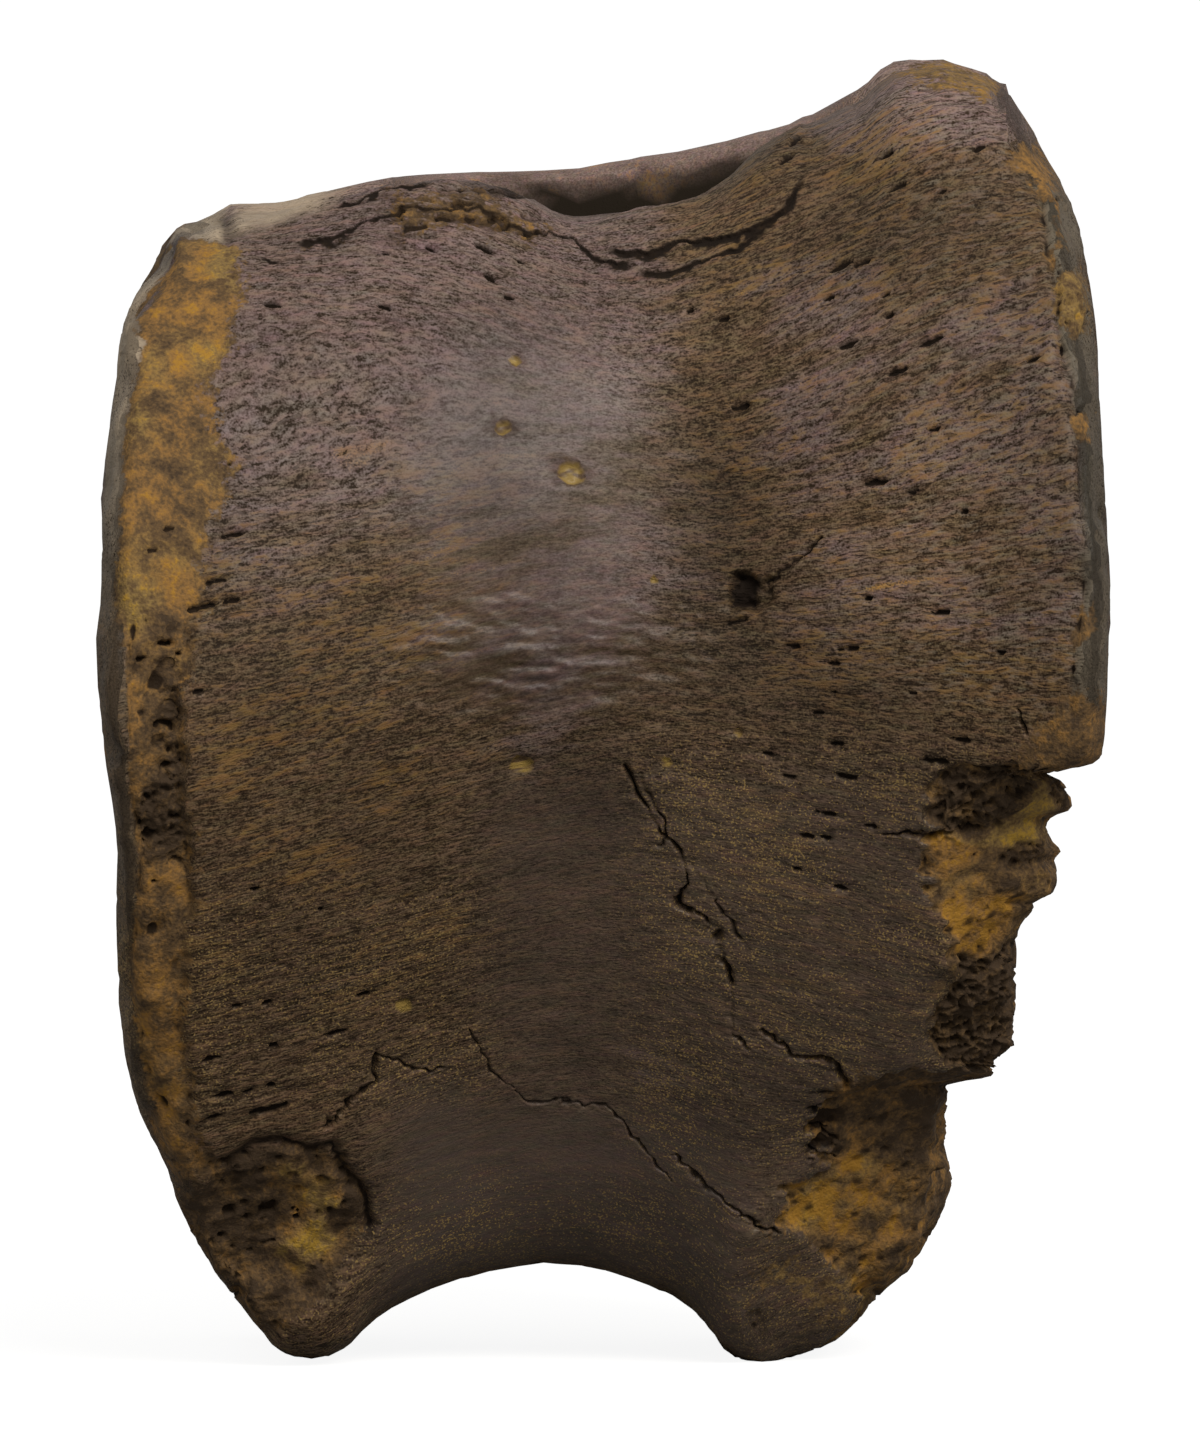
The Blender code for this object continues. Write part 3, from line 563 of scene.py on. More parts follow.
def atFeature(points, facing):
    # whether places in sight lie at a mark that needs fine faces
    x, z = asPictured(points)
    close = np.zeros(x.shape, bool)
    for atX, atZ, radius, _ in vesselHoles:
        close |= np.hypot(x - atX, z - atZ) < radius * 1.3 + 0.5
    for atX, atZ, half in pores + bandPits:
        close |= np.hypot(x - atX, z - atZ) < half + 0.4
    close |= patch(x, z, skinHole, 1.2) > 0
    for outline in (brokenEdge, brokenSkin, wornHollow, rimPits, splinteredSkin):
        close |= (patch(x, z, outline, 1.5) > 0) & (z > 1)
    close |= np.abs(x - acrossAt(bandEdge, z)) < 1.0
    close |= np.hypot((x + 4) / 14, (z - 58.5) / 6.5) < 1.1
    return close & inSight(points, facing) | nearLines(points, facing, 0, 1.1, 0.6)


print("bone: even copy of the solid")
solid = bmesh.new()
solid.from_mesh(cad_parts["vertebra"].data)
bmesh.ops.remove_doubles(solid, verts=solid.verts, dist=1e-6)
skin = bpy.data.meshes.new("bone")
solid.to_mesh(skin)
solid.free()
vertebra = placed("fossil_bone", skin)
even = vertebra.modifiers.new("even", "REMESH")
even.mode = "VOXEL"
even.voxel_size = bone["voxel"] * mm
skin = evaluatedCopy(vertebra, "bone")
vertebra.modifiers.clear()
vertebra.data = skin
soften(skin, bone["softening"])

# The solid's own small dents go from the near flank, where finer ones follow
points, facing = vertexArrays(skin)
x, z = asPictured(points)
smooth = ease(0.35, 0.6, towardsCamera(facing)) * nearHalf(points)
smooth *= ease(-36, -32, x) * ease(37, 33, x) * np.maximum(ease(10, 14, z) * ease(26, 20, x), ease(53, 57, z))
smooth *= (0.75 + 0.25 * ease(91, 88, z)) * ease(0, -1.2, z - np.interp(x, *zip(*smoothTop)))
links = neighbourLinks(skin)
for step in range(bone["smoothing"]):
    points = points + pullOf(points, links) * 0.6 * smooth[:, None]
placeVertices(skin, points)

print("bone: finer faces on the near side")
centres, facing = faceArrays(skin)
onBreak = (facing[:, 0] > 0.25) & (centres[:, 0] > 8) & (centres[:, 2] < 54) & (centres[:, 2] > 2)
splitFaces(skin, np.flatnonzero((towardsCamera(facing) > 0.1) & (centres[:, 1] < -3) | onBreak))
soften(skin, 2)
splitFaces(skin, np.flatnonzero(atFeature(*faceArrays(skin))))
soften(skin, 1)
splitFaces(skin, np.flatnonzero(onLine(*faceArrays(skin))))

print("bone: carving, faces", len(skin.polygons))


def behindRim(points, chosen):
    # how far each point lies behind the foremost chosen one at its height
    rows = np.round(points[:, 2]).astype(int) + 5
    front = np.full(rows.max() + 1, 1e3)
    np.minimum.at(front, rows[chosen], points[chosen, 1])
    front = np.convolve(np.pad(front, 2, mode="edge"), np.full(5, 0.2), "valid")
    return points[:, 1] - front[rows]


# Each carving step reads some of the values found so far, adds to the height in place and returns new values
def startOfCarving(points, facing):
    x, z = asPictured(points)
    turned = ease(-0.25, -0.05, towardsCamera(facing))
    return {
        "points": points, "facing": facing, "x": x, "z": z, "height": np.zeros(x.shape), "grain": grainPlaces(points),
        "turned": turned, "onEdge": turned * nearHalf(points), "nearby": nearShare(points, facing),
        "ragged": lumps(points, 1.6, 31, 3), "coarse": lumps(points, 4.5, 32, 3), "fine": lumps(points, 0.8, 33, 2),
    }


def endsAndCanal(points, facing, x, z, ragged, **_):
    across, depth, up = points.T
    leftEnd = ease(0.5, 0.8, -facing[:, 0]) * ease(-30, -36, across)
    rightEnd = ease(0.5, 0.8, facing[:, 0]) * ease(28, 35, across)
    slope = ease(0.35, 0.6, facing[:, 0]) * ease(8, 16, across) * ease(52, 49, up) * (1 - rightEnd)
    endFace = np.clip(leftEnd + rightEnd * ease(49.5, 52, up), 0, 1)
    canal = ease(90, 94, z) * ease(-14, -6, depth) * ease(20, 16, np.abs(x - 1.5)) * ease(24, 14, depth)
    belowShade = z - np.interp(x, *zip(*canalShade)) - 1.2 + 0.4 * ragged
    shade = ease(0.7, -0.6, belowShade + 0.9 * lumps(points * (1, 1, 0.2), 0.8, 94, 2))
    return {
        "leftEnd": leftEnd, "brokenEnd": rightEnd * ease(52, 49.5, up) + slope, "endFace": endFace,
        "canal": canal, "shade": shade, "flank": (1 - endFace) * (1 - canal) * ease(0.5, 0.2, np.abs(facing[:, 0])),
    }


def rims(points, facing, x, z, ragged, coarse, nearby, turned, onEdge, leftEnd, **_):
    # the worn band and the pale strip of the left rim, and the groove and lip of the right one
    edge = acrossAt(bandEdge, z) + 0.5 * ragged + 0.5 * coarse
    top = np.interp(x, *zip(*bandTop)) + 0.2 * ragged
    band = ease(0.45, -0.45, x - edge) * ease(13, 17, z) * ease(0.3, -0.3, z - top) * nearby
    softBand = ease(2.3, -1.8, x - edge) * ease(12, 17, z) * ease(0.4, -0.4, z - top) * nearby
    reach = 9 + 14 * ease(85, 89, z) * ease(0.05, 0.25, facing[:, 2])
    onRim = turned * ease(reach, reach - 4, behindRim(points, leftEnd > 0.5) + 2 * coarse + ragged)
    onRim *= ease(reach, reach - 5, points[:, 1] + 2 * coarse)
    fromStrip = x - acrossAt(leftStrip, z) - 0.4 * coarse
    strip = most(ease(0.4, -0.4, fromStrip), ease(-0.3, 0.3, z - top) * ease(-31.6, -32.6, x)) * onRim
    fromGroove = x - (acrossAt(rightGroove, z) + 0.35 * ragged)
    rimSpan = ease(53, 55, z) * ease(100, 97, z)
    return {
        "edge": edge, "band": band, "lowBand": ease(64, 61.5, z + 0.8 * coarse), "softBand": softBand * (1 - strip),
        "onRim": onRim, "fromStrip": fromStrip, "strip": strip, "fromGroove": fromGroove, "rimSpan": rimSpan,
        "rightStrip": ease(-0.2, 0.5, fromGroove) * rimSpan * nearby,
        "byRim": bell(fromGroove - 0.3, 0.9) * rimSpan * onEdge,
        "rimLip": bell(fromGroove - 0.35, 0.25) * rimSpan * onEdge,
    }


def breaks(points, x, z, ragged, coarse, onEdge, band, **_):
    # where the skin of the bone is worn or broken away, and where the bone under it is spongy
    splinter = 0.9 * lumps(points * (0.25, 1, 1), 0.9, 41, 2)
    brokenOff = patch(x + splinter, z + 0.3 * ragged, brokenEdge, 0.22) * onEdge
    spongy = np.zeros(x.shape)
    for outline, share in ((spongyUpper, 1), (spongyTip, 0.7), (spongyMiddle, 0.5), (spongyLower, 1)):
        spongy = most(spongy, share * patch(x + 0.5 * ragged, z + 0.4 * coarse, outline, 0.6))
    inBand = 0.7 * band * patch(x + 0.6 * ragged, z + 0.8 * coarse, bandSponge, 0.8)
    return {
        "hollow": patch(x + 0.8 * ragged, z + 0.8 * coarse, wornHollow, 1.1) * onEdge,
        "broken": patch(x + splinter, z + 0.35 * ragged, brokenSkin, 0.22) * onEdge,
        "brokenOff": brokenOff, "spongy": most(spongy * brokenOff, inBand),
    }


def fibres(points, x, z, height, grain, nearby, flank, band, hollow, broken, brokenOff, **_):
    # gentle unevenness everywhere, and ridges and slits along the fibres
    glossy = ease(1.5, 0.5, np.hypot((x + 6.5) / 11, (z - 73) / 15)) * nearby
    scaly = ease(1.3, 0.5, np.hypot((x + 4.5) / 13.5, (z - 58.5) / 6)) * nearby
    scales = scaly * (1 - band) * (0.55 + 0.45 * ease(-0.4, 0.4, lumps(points, 5, 93, 2)))
    combed = ease(16, 30, x) * ease(50, 58, z) * nearby
    plain = ease(30, 16, z) * ease(-24, -14, x) * ease(20, 8, x)
    plain = most(plain, 0.6 * ease(54, 44, z) * ease(-15, -6, x) * ease(30, 27, x)) * nearby
    rough = flank * (1 - band) * (1 - hollow) * (1 - brokenOff) * (1 - broken) * (1 - 0.8 * glossy) * (1 - 0.75 * plain)
    ripple = lumps(points * (0.27, 0.5, 1), 0.66, 97, 2)
    ridges = lumps(grain * (0.32, 1, 1), 1.05, 13, 2)
    slits = np.clip(1 - np.abs(lumps(grain * (0.3, 1, 1), 1.5, 14, 2)) / 0.3, 0, 1)
    height += bone["unevenness"] * lumps(points, 9, 11, 3) + bone["waves"] * lumps(points, 2.6, 12, 2)
    height += bone["ripples"] * scales * (ease(-0.08, 0.1, ripple) + 0.6 * ripple)
    cut = bone["slits"] * rough * (1 + combed) * slits
    height += bone["fibres"] * rough * (1 + 0.7 * ease(0, 14, x)) * ridges - cut
    height += bone["grit"] * rough * lumps(points, 0.75, 15, 1)
    return {"glossy": glossy, "scaly": scaly, "scales": scales, "combed": combed, "plain": plain}


def rimRelief(
    points, x, z, height, ragged, coarse, nearby, edge, band, lowBand, fromStrip, strip, fromGroove, rimSpan,
    rightStrip, byRim, rimLip, **_
):
    holes = pits(points * (1, 1, 0.8), 2.1, 51, 0.12, 0.4)
    worn = (0.14 + 0.34 * lowBand) + (0.1 + 0.18 * lowBand) * (ragged + coarse) + 0.5 * lowBand * holes
    height -= band * (1 - strip) * worn
    height -= bone["bandGroove"] * nearby * ease(13, 17, z) * bell(x - edge - 0.1, 0.35) * lowBand
    height -= bone["stripGroove"] * nearby * bell(fromStrip, 0.4) * (0.4 + 0.6 * lowBand)
    height -= bone["rimGroove"] * nearby * bell(fromGroove, 0.4) * rimSpan
    height += bone["rimStrip"] * rightStrip
    height += bone["rimLip"] * rimLip
    rimHoles = byRim * pits(points * (1, 1, 0.8), 1.5, 52, 0.1, 0.33)
    height -= bone["rimHoles"] * rimHoles
    return {"rimHoles": rimHoles}


def breakRelief(
    points, x, z, height, ragged, coarse, fine, nearby, onEdge, onRim, spongy, brokenEnd, broken, brokenOff, hollow, **_
):
    sponge = np.clip(spongy + brokenEnd * ease(-0.1, 0.5, coarse) * (1 - brokenOff) * (1 - broken), 0, 1)
    first, second, own = nearestSeeds(points * (0.9, 0.8, 1), 1.0, 61)
    cells = ease(0.04, 0.3, second - first) * (0.3 + 0.7 * own)
    first, second, own = nearestSeeds(points, 0.6, 62)
    smallCells = ease(0.08, 0.4, second - first) * own
    height -= (
        bone["lostSkin"] * broken + bone["lostEdge"] * brokenOff
        + sponge * (0.1 + 0.3 * coarse + 0.9 * cells + 0.3 * smallCells)
    )
    crumbled = np.clip(brokenOff + broken + brokenEnd, 0, 1)
    height -= crumbled * (0.22 * ragged + 0.25 * coarse + 0.15 * fine + 0.3 * pits(points, 1.7, 64, 0.08, 0.4))
    ridge = bell(lineDistance(x + 0.4 * ragged, z + 0.4 * ragged, hollowRidge), 0.5) * nearby
    height -= (
        hollow * (0.45 + 0.4 * coarse + 0.35 * ragged + 0.5 * pits(points, 1.5, 63, 0.1, 0.45))
        + bone["hollowRidge"] * ridge
    )
    height -= bone["rimPits"] * patch(x, z, rimPits, 0.5) * nearby * pits(points, 1.2, 65, 0.3, 0.6)
    nook = patch(x + 0.3 * ragged, z + 0.2 * fine, darkNook, 0.4) * onEdge
    notch = patch(x + 0.3 * ragged, z + 0.2 * fine, rimNotch, 0.5) * onRim
    splinters = patch(x + 0.4 * ragged, z, splinteredSkin, 0.5) * nearby
    splinters *= ease(0.08, 0.22, lumps(points * (0.2, 0.5, 1), 0.55, 45, 2))
    height -= bone["nook"] * nook
    height -= bone["notch"] * notch
    height -= bone["splinters"] * splinters
    # painted shade in the groove along the hollow's ridge, in the canal's nook, in the notch and between the splinters
    return {"sponge": sponge, "dark": most(0.8 * ridge, nook, 0.5 * notch, splinters)}


def sheets(points, x, z, height, dark, ragged, coarse, fine, onEdge, **_):
    # the broken sheets along the canal, with rust in their gaps, painted shade in the gaps and a painted shadow under
    # each sheet's edge
    rusty = patch(x + 1.2 * coarse, z + 0.8 * ragged, ledgeRust, 1.5) * onEdge
    gaps = rusty * ease(0.1, 0.4, lumps(points * (0.5, 1, 1.5), 1.1, 66, 3))
    height -= bone["gaps"] * gaps
    dark = most(dark, 0.9 * gaps)
    for line, rise, fade, cut in ledges:
        distance, above = besideLine(x, z + 0.3 * ragged + 0.1 * fine, line)
        side = distance * above
        ends = np.minimum(np.abs(x - line[0][0]), np.abs(x - line[-1][0]))
        shown = onEdge * ease(-0.2, 1.2, np.where((x > line[0][0]) & (x < line[-1][0]), ends, -ends))
        width = 0.12 + 0.14 * coarse + 0.16 * ragged + 0.06 * cut + 0.16 * cut * ease(7, 14, x)
        width = np.maximum(width, 0.05)
        rusty = most(rusty, 0.45 * shown * ease(0.1, 0.5, coarse + 0.3 * ragged) * bell(side + 0.3, 0.4))
        dark = most(dark, 1.3 * shown * bell(side + 0.6 * width, width, 4))
        height += shown * bone["sheetRise"] * rise * ease(-0.05, 0.05, side) * ease(fade, 0.1, side)
        height -= shown * bone["sheetDrop"] * cut * np.exp(np.minimum(side, 0) / 0.5) * ease(0.05, -0.05, side)
    return {"rusty": rusty, "dark": dark}


def cracksAndHoles(points, x, z, height, dark, ragged, fine, nearby, **_):
    # cracks, vessel holes and pores, with painted shade in the cracks, the pores and the pits
    gone = ease(0.2, -0.4, lumps(points, 1.8, 96, 2))
    for line, halfWidth, depth, brokenUp in cracks:
        shown = (1 - brokenUp * gone) * nearby
        width = halfWidth * np.clip(0.62 + 0.5 * ragged, 0.25, 1.2)
        away = lineDistance(x + 0.3 * ragged, z + 0.28 * fine, line) / width
        height -= shown * depth * bell(away, 1)
        dark = most(dark, 0.9 * shown * bell(away, 0.75))
    sediment = np.zeros(x.shape)
    for atX, atZ, radius, fill in vesselHoles:
        away = np.hypot((x - atX) * 0.9, z - atZ) / radius + 0.16 * fine + 0.2 * ragged
        height -= nearby * (0.3 + 0.9 * (1 - fill)) * ease(1.05, 0.75, away)
        height += nearby * bone["sediment"] * bell(away, 0.5) * fill
        sediment = most(sediment, nearby * min(1, fill + 0.15) * ease(1.0, 0.8, away))
    hole = patch(x + 0.45 * ragged, z + 0.4 * fine, skinHole, 0.4) * nearby
    height -= (
        bone["skinHole"] * hole * (1 - 0.5 * fine)
        + bone["skinSlit"] * nearby * bell(lineDistance(x, z, skinSlit), 0.22)
    )
    # painted shade over the left part of the hole in the skin
    dark = most(dark, hole * ease(0.3, -0.6, x - 13.2 - (z - 64.5) * 0.4))
    for kind, marks in (("pore", pores), ("pit", bandPits)):
        isPit = kind == "pit"
        for atX, atZ, half in marks:
            local = (np.abs(x - atX) < half + 1) & (np.abs(z - atZ) < half + 1)
            along, across = alongGrain(x[local], z[local], atX, atZ)
            wide = half * 0.6 if isPit else 0.13 + 0.1 * half
            away = np.hypot(along / half, across / wide) + 0.4 * ragged[local] + 0.4 * fine[local] + 0.45 * isPit
            opening = ease(1.1, 0.65, away) * nearby[local]
            height[local] -= bone[kind] * opening
            dark[local] = most(dark[local], opening)
    return {"sediment": sediment, "dark": dark}


def hiddenSides(points, height, grain, ragged, coarse, endFace, flank, **_):
    # rings and chips on the end faces, and pores and slits where the photograph shows nothing
    up = points[:, 2] - 52
    outward = np.hypot(points[:, 1], up)
    rings = np.stack([outward, 9 * np.arctan2(up, points[:, 1]), 0 * outward], axis=1)
    height += endFace * (bone["rings"] * lumps(rings, 2.6, 74, 2) + 0.12 * ragged + 0.18 * coarse)
    height -= bone["chips"] * endFace * pits(points * (0.5, 1, 1), 3.6, 75, 0.02, 0.25)
    away = flank * ease(-1, 5, points[:, 1])
    height -= bone["hiddenPores"] * away * pits(grain * (0.5, 1, 1), 4.6, 71, 0.02, 0.13)
    slits = np.clip(1 - np.abs(lumps(grain * (0.3, 1, 1), 16, 72, 3)) / 0.02, 0, 1)
    height -= bone["hiddenSlits"] * away * slits * ease(0, 0.4, lumps(points, 18, 73, 1))
    return {}


def earths(
    points, facing, x, z, ragged, coarse, dark, nearby, onEdge, onRim, endFace, brokenEnd, softBand, hollow, broken,
    brokenOff, spongy, rusty, byRim, rimHoles, **_
):
    # how bare each place is, how light its earth is and how ruddy
    bare, earth, ruddy = np.zeros(x.shape), np.full(x.shape, 0.35), np.full(x.shape, 0.5)

    def expose(share, light, red):
        np.maximum(bare, share, out=bare)
        earth[:] += (light - earth) * share
        ruddy[:] += (red - ruddy) * share

    def wobbly(outline, soft, across=1.0, up=1.0):
        return patch(x + across * ragged, z + up * ragged, outline, soft)

    patchy = 0.5 + 0.4 * lumps(points, 5, 83, 2)
    expose(brokenEnd, 0.42 + 0.25 * coarse, 0.5 + 0.5 * lumps(points, 7, 82, 1))
    around = (1 - nearby) * (1 - endFace) * ease(-29, -36, points[:, 0] + 1.5 * coarse + ragged) * ease(1, 8, z)
    expose(around * (1 - onRim), 0.46 + 0.22 * coarse + 0.12 * ragged, patchy)
    dished = endFace * ease(0.0, 0.45, lumps(points, 15, 86, 3) + 0.25 * coarse)
    ruddyEnd = 0.45 + 0.4 * lumps(points, 8, 87, 2)
    expose(0.85 * dished * (1 - onRim), 0.38 + 0.25 * coarse + 0.15 * ragged, ruddyEnd)
    tone = np.interp(z + 1.2 * coarse, *zip(*bandTones))
    expose(softBand, tone + 0.16 * coarse + 0.14 * ragged, patchy + 0.3 * ease(62, 58, z))
    expose(hollow, 0.2 + 0.2 * coarse + 0.15 * ragged, 0.75)
    expose(hollow * wobbly(hollowGlow, 1.0), 0.72, 0.4 + 0.5 * coarse)
    expose(broken, 0.4 + 0.2 * coarse, 0.4)
    light = np.interp(x, (16, 20, 26, 29), (0.8, 0.72, 0.55, 0.36)) + 0.3 * coarse + 0.3 * ragged
    expose(patch(x + ragged, z + coarse, ochreLow, 0.8) * onEdge, light, 0.6 + 0.3 * ragged)
    expose(0.9 * wobbly(darkLow, 0.9) * onEdge, 0.2 + 0.35 * ragged + 0.15 * coarse, 0.75)
    expose(0.6 * wobbly(paleLow, 0.9) * onEdge, 0.62, 0.1)
    expose(brokenOff, 0.42 + 0.2 * ragged + 0.1 * coarse, 0.45)
    for outline, light, red in ((ochreBand, 0.84, 0.05), (orangeUpper, 0.84, 0.95), (orangeLower, 0.92, 0.85)):
        expose(patch(x + 0.6 * ragged, z + 0.3 * coarse, outline, 0.6) * brokenOff, light + 0.1 * ragged, red)
    expose(np.minimum(1, 1.3 * spongy), 0.14 + 0.1 * ragged, 0.4)
    expose(0.85 * wobbly(cornerRust, 1.1) * onEdge, 0.41 + 0.1 * ragged, 0.95)
    expose(wobbly(rimRust, 0.9) * onEdge, 0.66, 0.9)
    expose(wobbly(rimPits, 0.6, 0.5, 0) * onEdge, 0.6, 0.3)
    expose(0.8 * rusty, 0.36 + 0.3 * ragged, 0.5)
    expose(0.7 * wobbly(knobRust, 0.7, 1, 0.4) * ease(20, 12, points[:, 1]), 0.74, 0.4)
    expose(byRim * ease(0.15, 0.5, lumps(points, 4, 84, 2)), 0.5 + 0.15 * ragged, 0.9)
    # painted shade in the holes by the right rim and in the pits of broken places
    pitted = np.clip(broken + brokenOff + hollow, 0, 1) * pits(points * (0.7, 1, 1), 1.3, 67, 0.04, 0.46)
    dark = most(dark, 0.8 * rimHoles, 0.85 * pitted)
    return {"bare": bare, "earth": earth, "ruddy": np.clip(ruddy, 0, 1), "dark": np.clip(dark, 0, 1)}


def shownMarks(x, z, ragged, coarse, onRim, strip, rightStrip, rimLip, canal, shade, glossy, plain, scaly, sponge, **_):
    # the pale corner is a painted highlight on the upper left rim; the left strip is painted paler towards the top
    corner = patch(x + coarse, z, paleCorner, 0.7) * onRim * (0.9 + 0.3 * ragged) * ease(-18, -25, x)
    return {
        "strip": np.clip(strip * (0.3 + 0.7 * ease(58, 74, z)) + 0.8 * rightStrip + rimLip, 0, 1),
        "pale": most(corner, 0.85 * strip * ease(60, 88, z)) * (0.9 + 0.25 * coarse),
        "shade": canal * shade * ease(17, 9, np.abs(x - 3) + 2 * coarse),
        "even": ease(0, 1, 0.85 * glossy + 0.8 * plain + 0.7 * canal + 0.6 * scaly),
        "spongy": sponge,
    }


def lilacShare(x, y, z):
    places = np.stack([x, y, z], axis=1)
    upper = ease(58, 84, z) * ease(14, -6, x)
    knob = ease(101, 105, z) * ease(12, 20, x)
    middle = 0.7 * oval(x, z, -2, 66, 16, 14)
    flank = 0.55 * ease(8, 16, x) * ease(56, 66, z) * ease(98, 88, z)
    share = most(upper, knob, middle, flank) + 0.15 * lumps(places, 9, 81, 2)
    hidden = ease(55, 90, z) + 0.5 * lumps(places, 20, 88, 3) - 0.1
    return np.clip(most(share + (hidden - share) * ease(-6, 6, y), ease(94, 97, z) * ease(-12, -5, y)), 0, 1)


def fleckShare(x, y, z):
    right = ease(-1, 6, x) * ease(58, 50, z) * ease(14, 20, z)
    left = ease(-6, -14, x) * ease(46, 38, z) * ease(20, 26, z)
    return np.clip(most(right, left, ease(20, 12, z)), 0, 1)


def rustShare(x, y, z):
    flank = ease(4, 14, x) * ease(54, 62, z)
    left = ease(-4, -16, x) * ease(24, 44, z) * ease(84, 66, z)
    right = 0.6 * ease(8, 16, x) * ease(54, 48, z) * ease(24, 34, z)
    share = most(flank, left, right) + 0.2
    hidden = 0.45 + 0.7 * lumps(np.stack([x, y, z], axis=1), 16, 89, 3)
    return np.clip(share + (hidden - share) * ease(-6, 6, y), 0, 1)


# painted shade right of the waist and under its ridge, lighter or darker tones of the bone elsewhere, and the far wall
# of the canal made lighter
def toneAndPaintedShadeShare(points):
    x, z = asPictured(points)
    share = 1 + 0.12 * lumps(points, 12, 85, 2)
    for atX, atZ, wide, tall, amount in tonesAndPaintedShade:
        share += amount * oval(x, z, atX, atZ, wide, tall) * ease(0, -5, points[:, 1])
    return share + 0.8 * ease(2, 8, points[:, 1]) * ease(93, 96, z)


def fitEdge(points, line, upright, sense, reach, window):
    # moves the points nearest to the background, up or down if upright, so that the outline follows a line
    x, z = asPictured(points)
    along, across = (x, z) if upright else (z, x)
    places = np.array(sorted(((a, c) if upright else (c, a)) for a, c in line))
    bins = np.round(along / bone["outlineStep"]).astype(int)
    first = bins.min()
    bins -= first
    furthest = np.full(bins.max() + 1, -1e9)
    np.maximum.at(furthest, bins, sense * across)
    for widest in (np.max, np.min):  # fills gaps between sparse points
        around = np.pad(furthest, window, mode="edge")
        furthest = widest([around[step : step + len(furthest)] for step in range(2 * window + 1)], axis=0)
    furthest = sense * furthest
    centres = (np.arange(len(furthest)) + first) * bone["outlineStep"]
    shifts = np.interp(centres, places[:, 0], places[:, 1]) - furthest
    shifts = np.convolve(np.pad(shifts, 1, mode="edge"), (0.25, 0.5, 0.25), "valid")
    shift = np.interp(along, centres, shifts)
    furthest = furthest[bins]
    inside = ease(places[0, 0] - 1, places[0, 0] + 1, along) * ease(places[-1, 0] + 1, places[-1, 0] - 1, along)
    weight = inside * ease(reach, 0.3, sense * (furthest - across))
    moved = points.copy()
    moved[:, 2 if upright else 0] += shift * weight
    moved[:, 2] = np.maximum(moved[:, 2], np.minimum(points[:, 2], 0))  # nothing goes through the floor
    return moved


def storeMark(mesh, name, values):
    mesh.attributes.new(name, "FLOAT", "POINT").data.foreach_set("value", np.asarray(values, np.float32))


def readMark(mesh, name):
    values = np.empty(len(mesh.vertices), np.float32)
    mesh.attributes[name].data.foreach_get("value", values)
    return values


points, facing = vertexArrays(skin)
found = startOfCarving(points, facing)
for carve in (
    endsAndCanal, rims, breaks, fibres, rimRelief, breakRelief, sheets, cracksAndHoles, hiddenSides, earths, shownMarks
):
    found |= carve(**found)
points = points + facing * found["height"][:, None]
for step in range(3):
    for edge in (
        (outlineRight, False, 1, 7, 1), (outlineLeft, False, -1, 7, 3),
        (outlineTop, True, 1, 7, 3), (outlineBottom, True, -1, 4, 3),
    ):
        points = fitEdge(points, *edge)
placeVertices(skin, points)

points, facing = vertexArrays(skin)
links = neighbourLinks(skin)
level = points.copy()
for step in range(8):
    level = level + pullOf(level, links) * 0.7
# how far each vertex lies below its smoothed neighbours; the material paints shade where it is sunken
found["sunken"] = np.sum((level - points) * facing, axis=1)
found["sunken"] *= (1 - 0.6 * found["endFace"]) * (0.5 + 0.5 * ease(0, -6, points[:, 1]))
for name in (
    "bare", "earth", "ruddy", "strip", "endFace", "spongy", "canal", "shade", "pale", "sediment", "dark", "even",
    "plain", "combed", "sunken",
):
    storeMark(skin, name, found[name])

print("bone: fewer faces where it is plain")
triangles = triangleCount(skin)
print("triangles before", triangles)
spared = most(
    onLine(points, facing), np.minimum(1, 2 * found["dark"]),
    0.6 * ease(0.05, 0.5, found["spongy"] * ease(-0.1, 0.1, towardsCamera(facing))), 0.5 * found["scales"],
)
plainness = vertebra.vertex_groups.new(name="plainness")
weights = np.round(1 - bone["spared"] * spared, 1)
for weight in np.unique(weights):
    plainness.add(np.flatnonzero(weights == weight).tolist(), float(weight), "REPLACE")
thinner = vertebra.modifiers.new("thinner", "DECIMATE")
thinner.vertex_group = "plainness"
thinner.ratio = min(1, bone["mostTriangles"] / triangles)
skin = evaluatedCopy(vertebra, "bone")
vertebra.modifiers.clear()
vertebra.data = skin
vertebra.vertex_groups.clear()
print("triangles", triangleCount(skin))
skin.shade_smooth()

# Marks that follow the place alone, and the grain: along the fibres, upright in the canal, even on raw bone
points, facing = vertexArrays(skin)
x, y, z = points.T
for name, share in (("lilac", lilacShare), ("fleck", fleckShare), ("rust", rustShare)):
    storeMark(skin, name, share(x, y, z))
storeMark(skin, "stain", toneAndPaintedShadeShare(points))
even = np.clip(readMark(skin, "endFace") + readMark(skin, "spongy") * 0.8, 0, 1)[:, None]
grain = grainPlaces(points) * (1 - even) + np.stack([5 * x, y, z], axis=1) * even
upright = (readMark(skin, "canal") * ease(-12, -4, y))[:, None]
grain = grain * (1 - upright) + np.stack([z, x, y], axis=1) * upright
skin.attributes.new("grain", "FLOAT_VECTOR", "POINT").data.foreach_set("vector", grain.astype(np.float32).ravel())


class Signal:
    # a shader value that takes part in sums and products
    def __init__(self, shader, socket):
        self.shader = shader
        self.socket = socket

    def maths(self, operation, first, second):
        return self.shader.add("Math", {"operation": operation}, {0: first, 1: second})

    def __add__(self, other):
        return self.maths("ADD", self, other)

    def __sub__(self, other):
        return self.maths("SUBTRACT", self, other)

    def __rsub__(self, other):
        return self.maths("SUBTRACT", other, self)

    def __mul__(self, other):
        return self.maths("MULTIPLY", self, other)

    __radd__ = __add__
    __rmul__ = __mul__


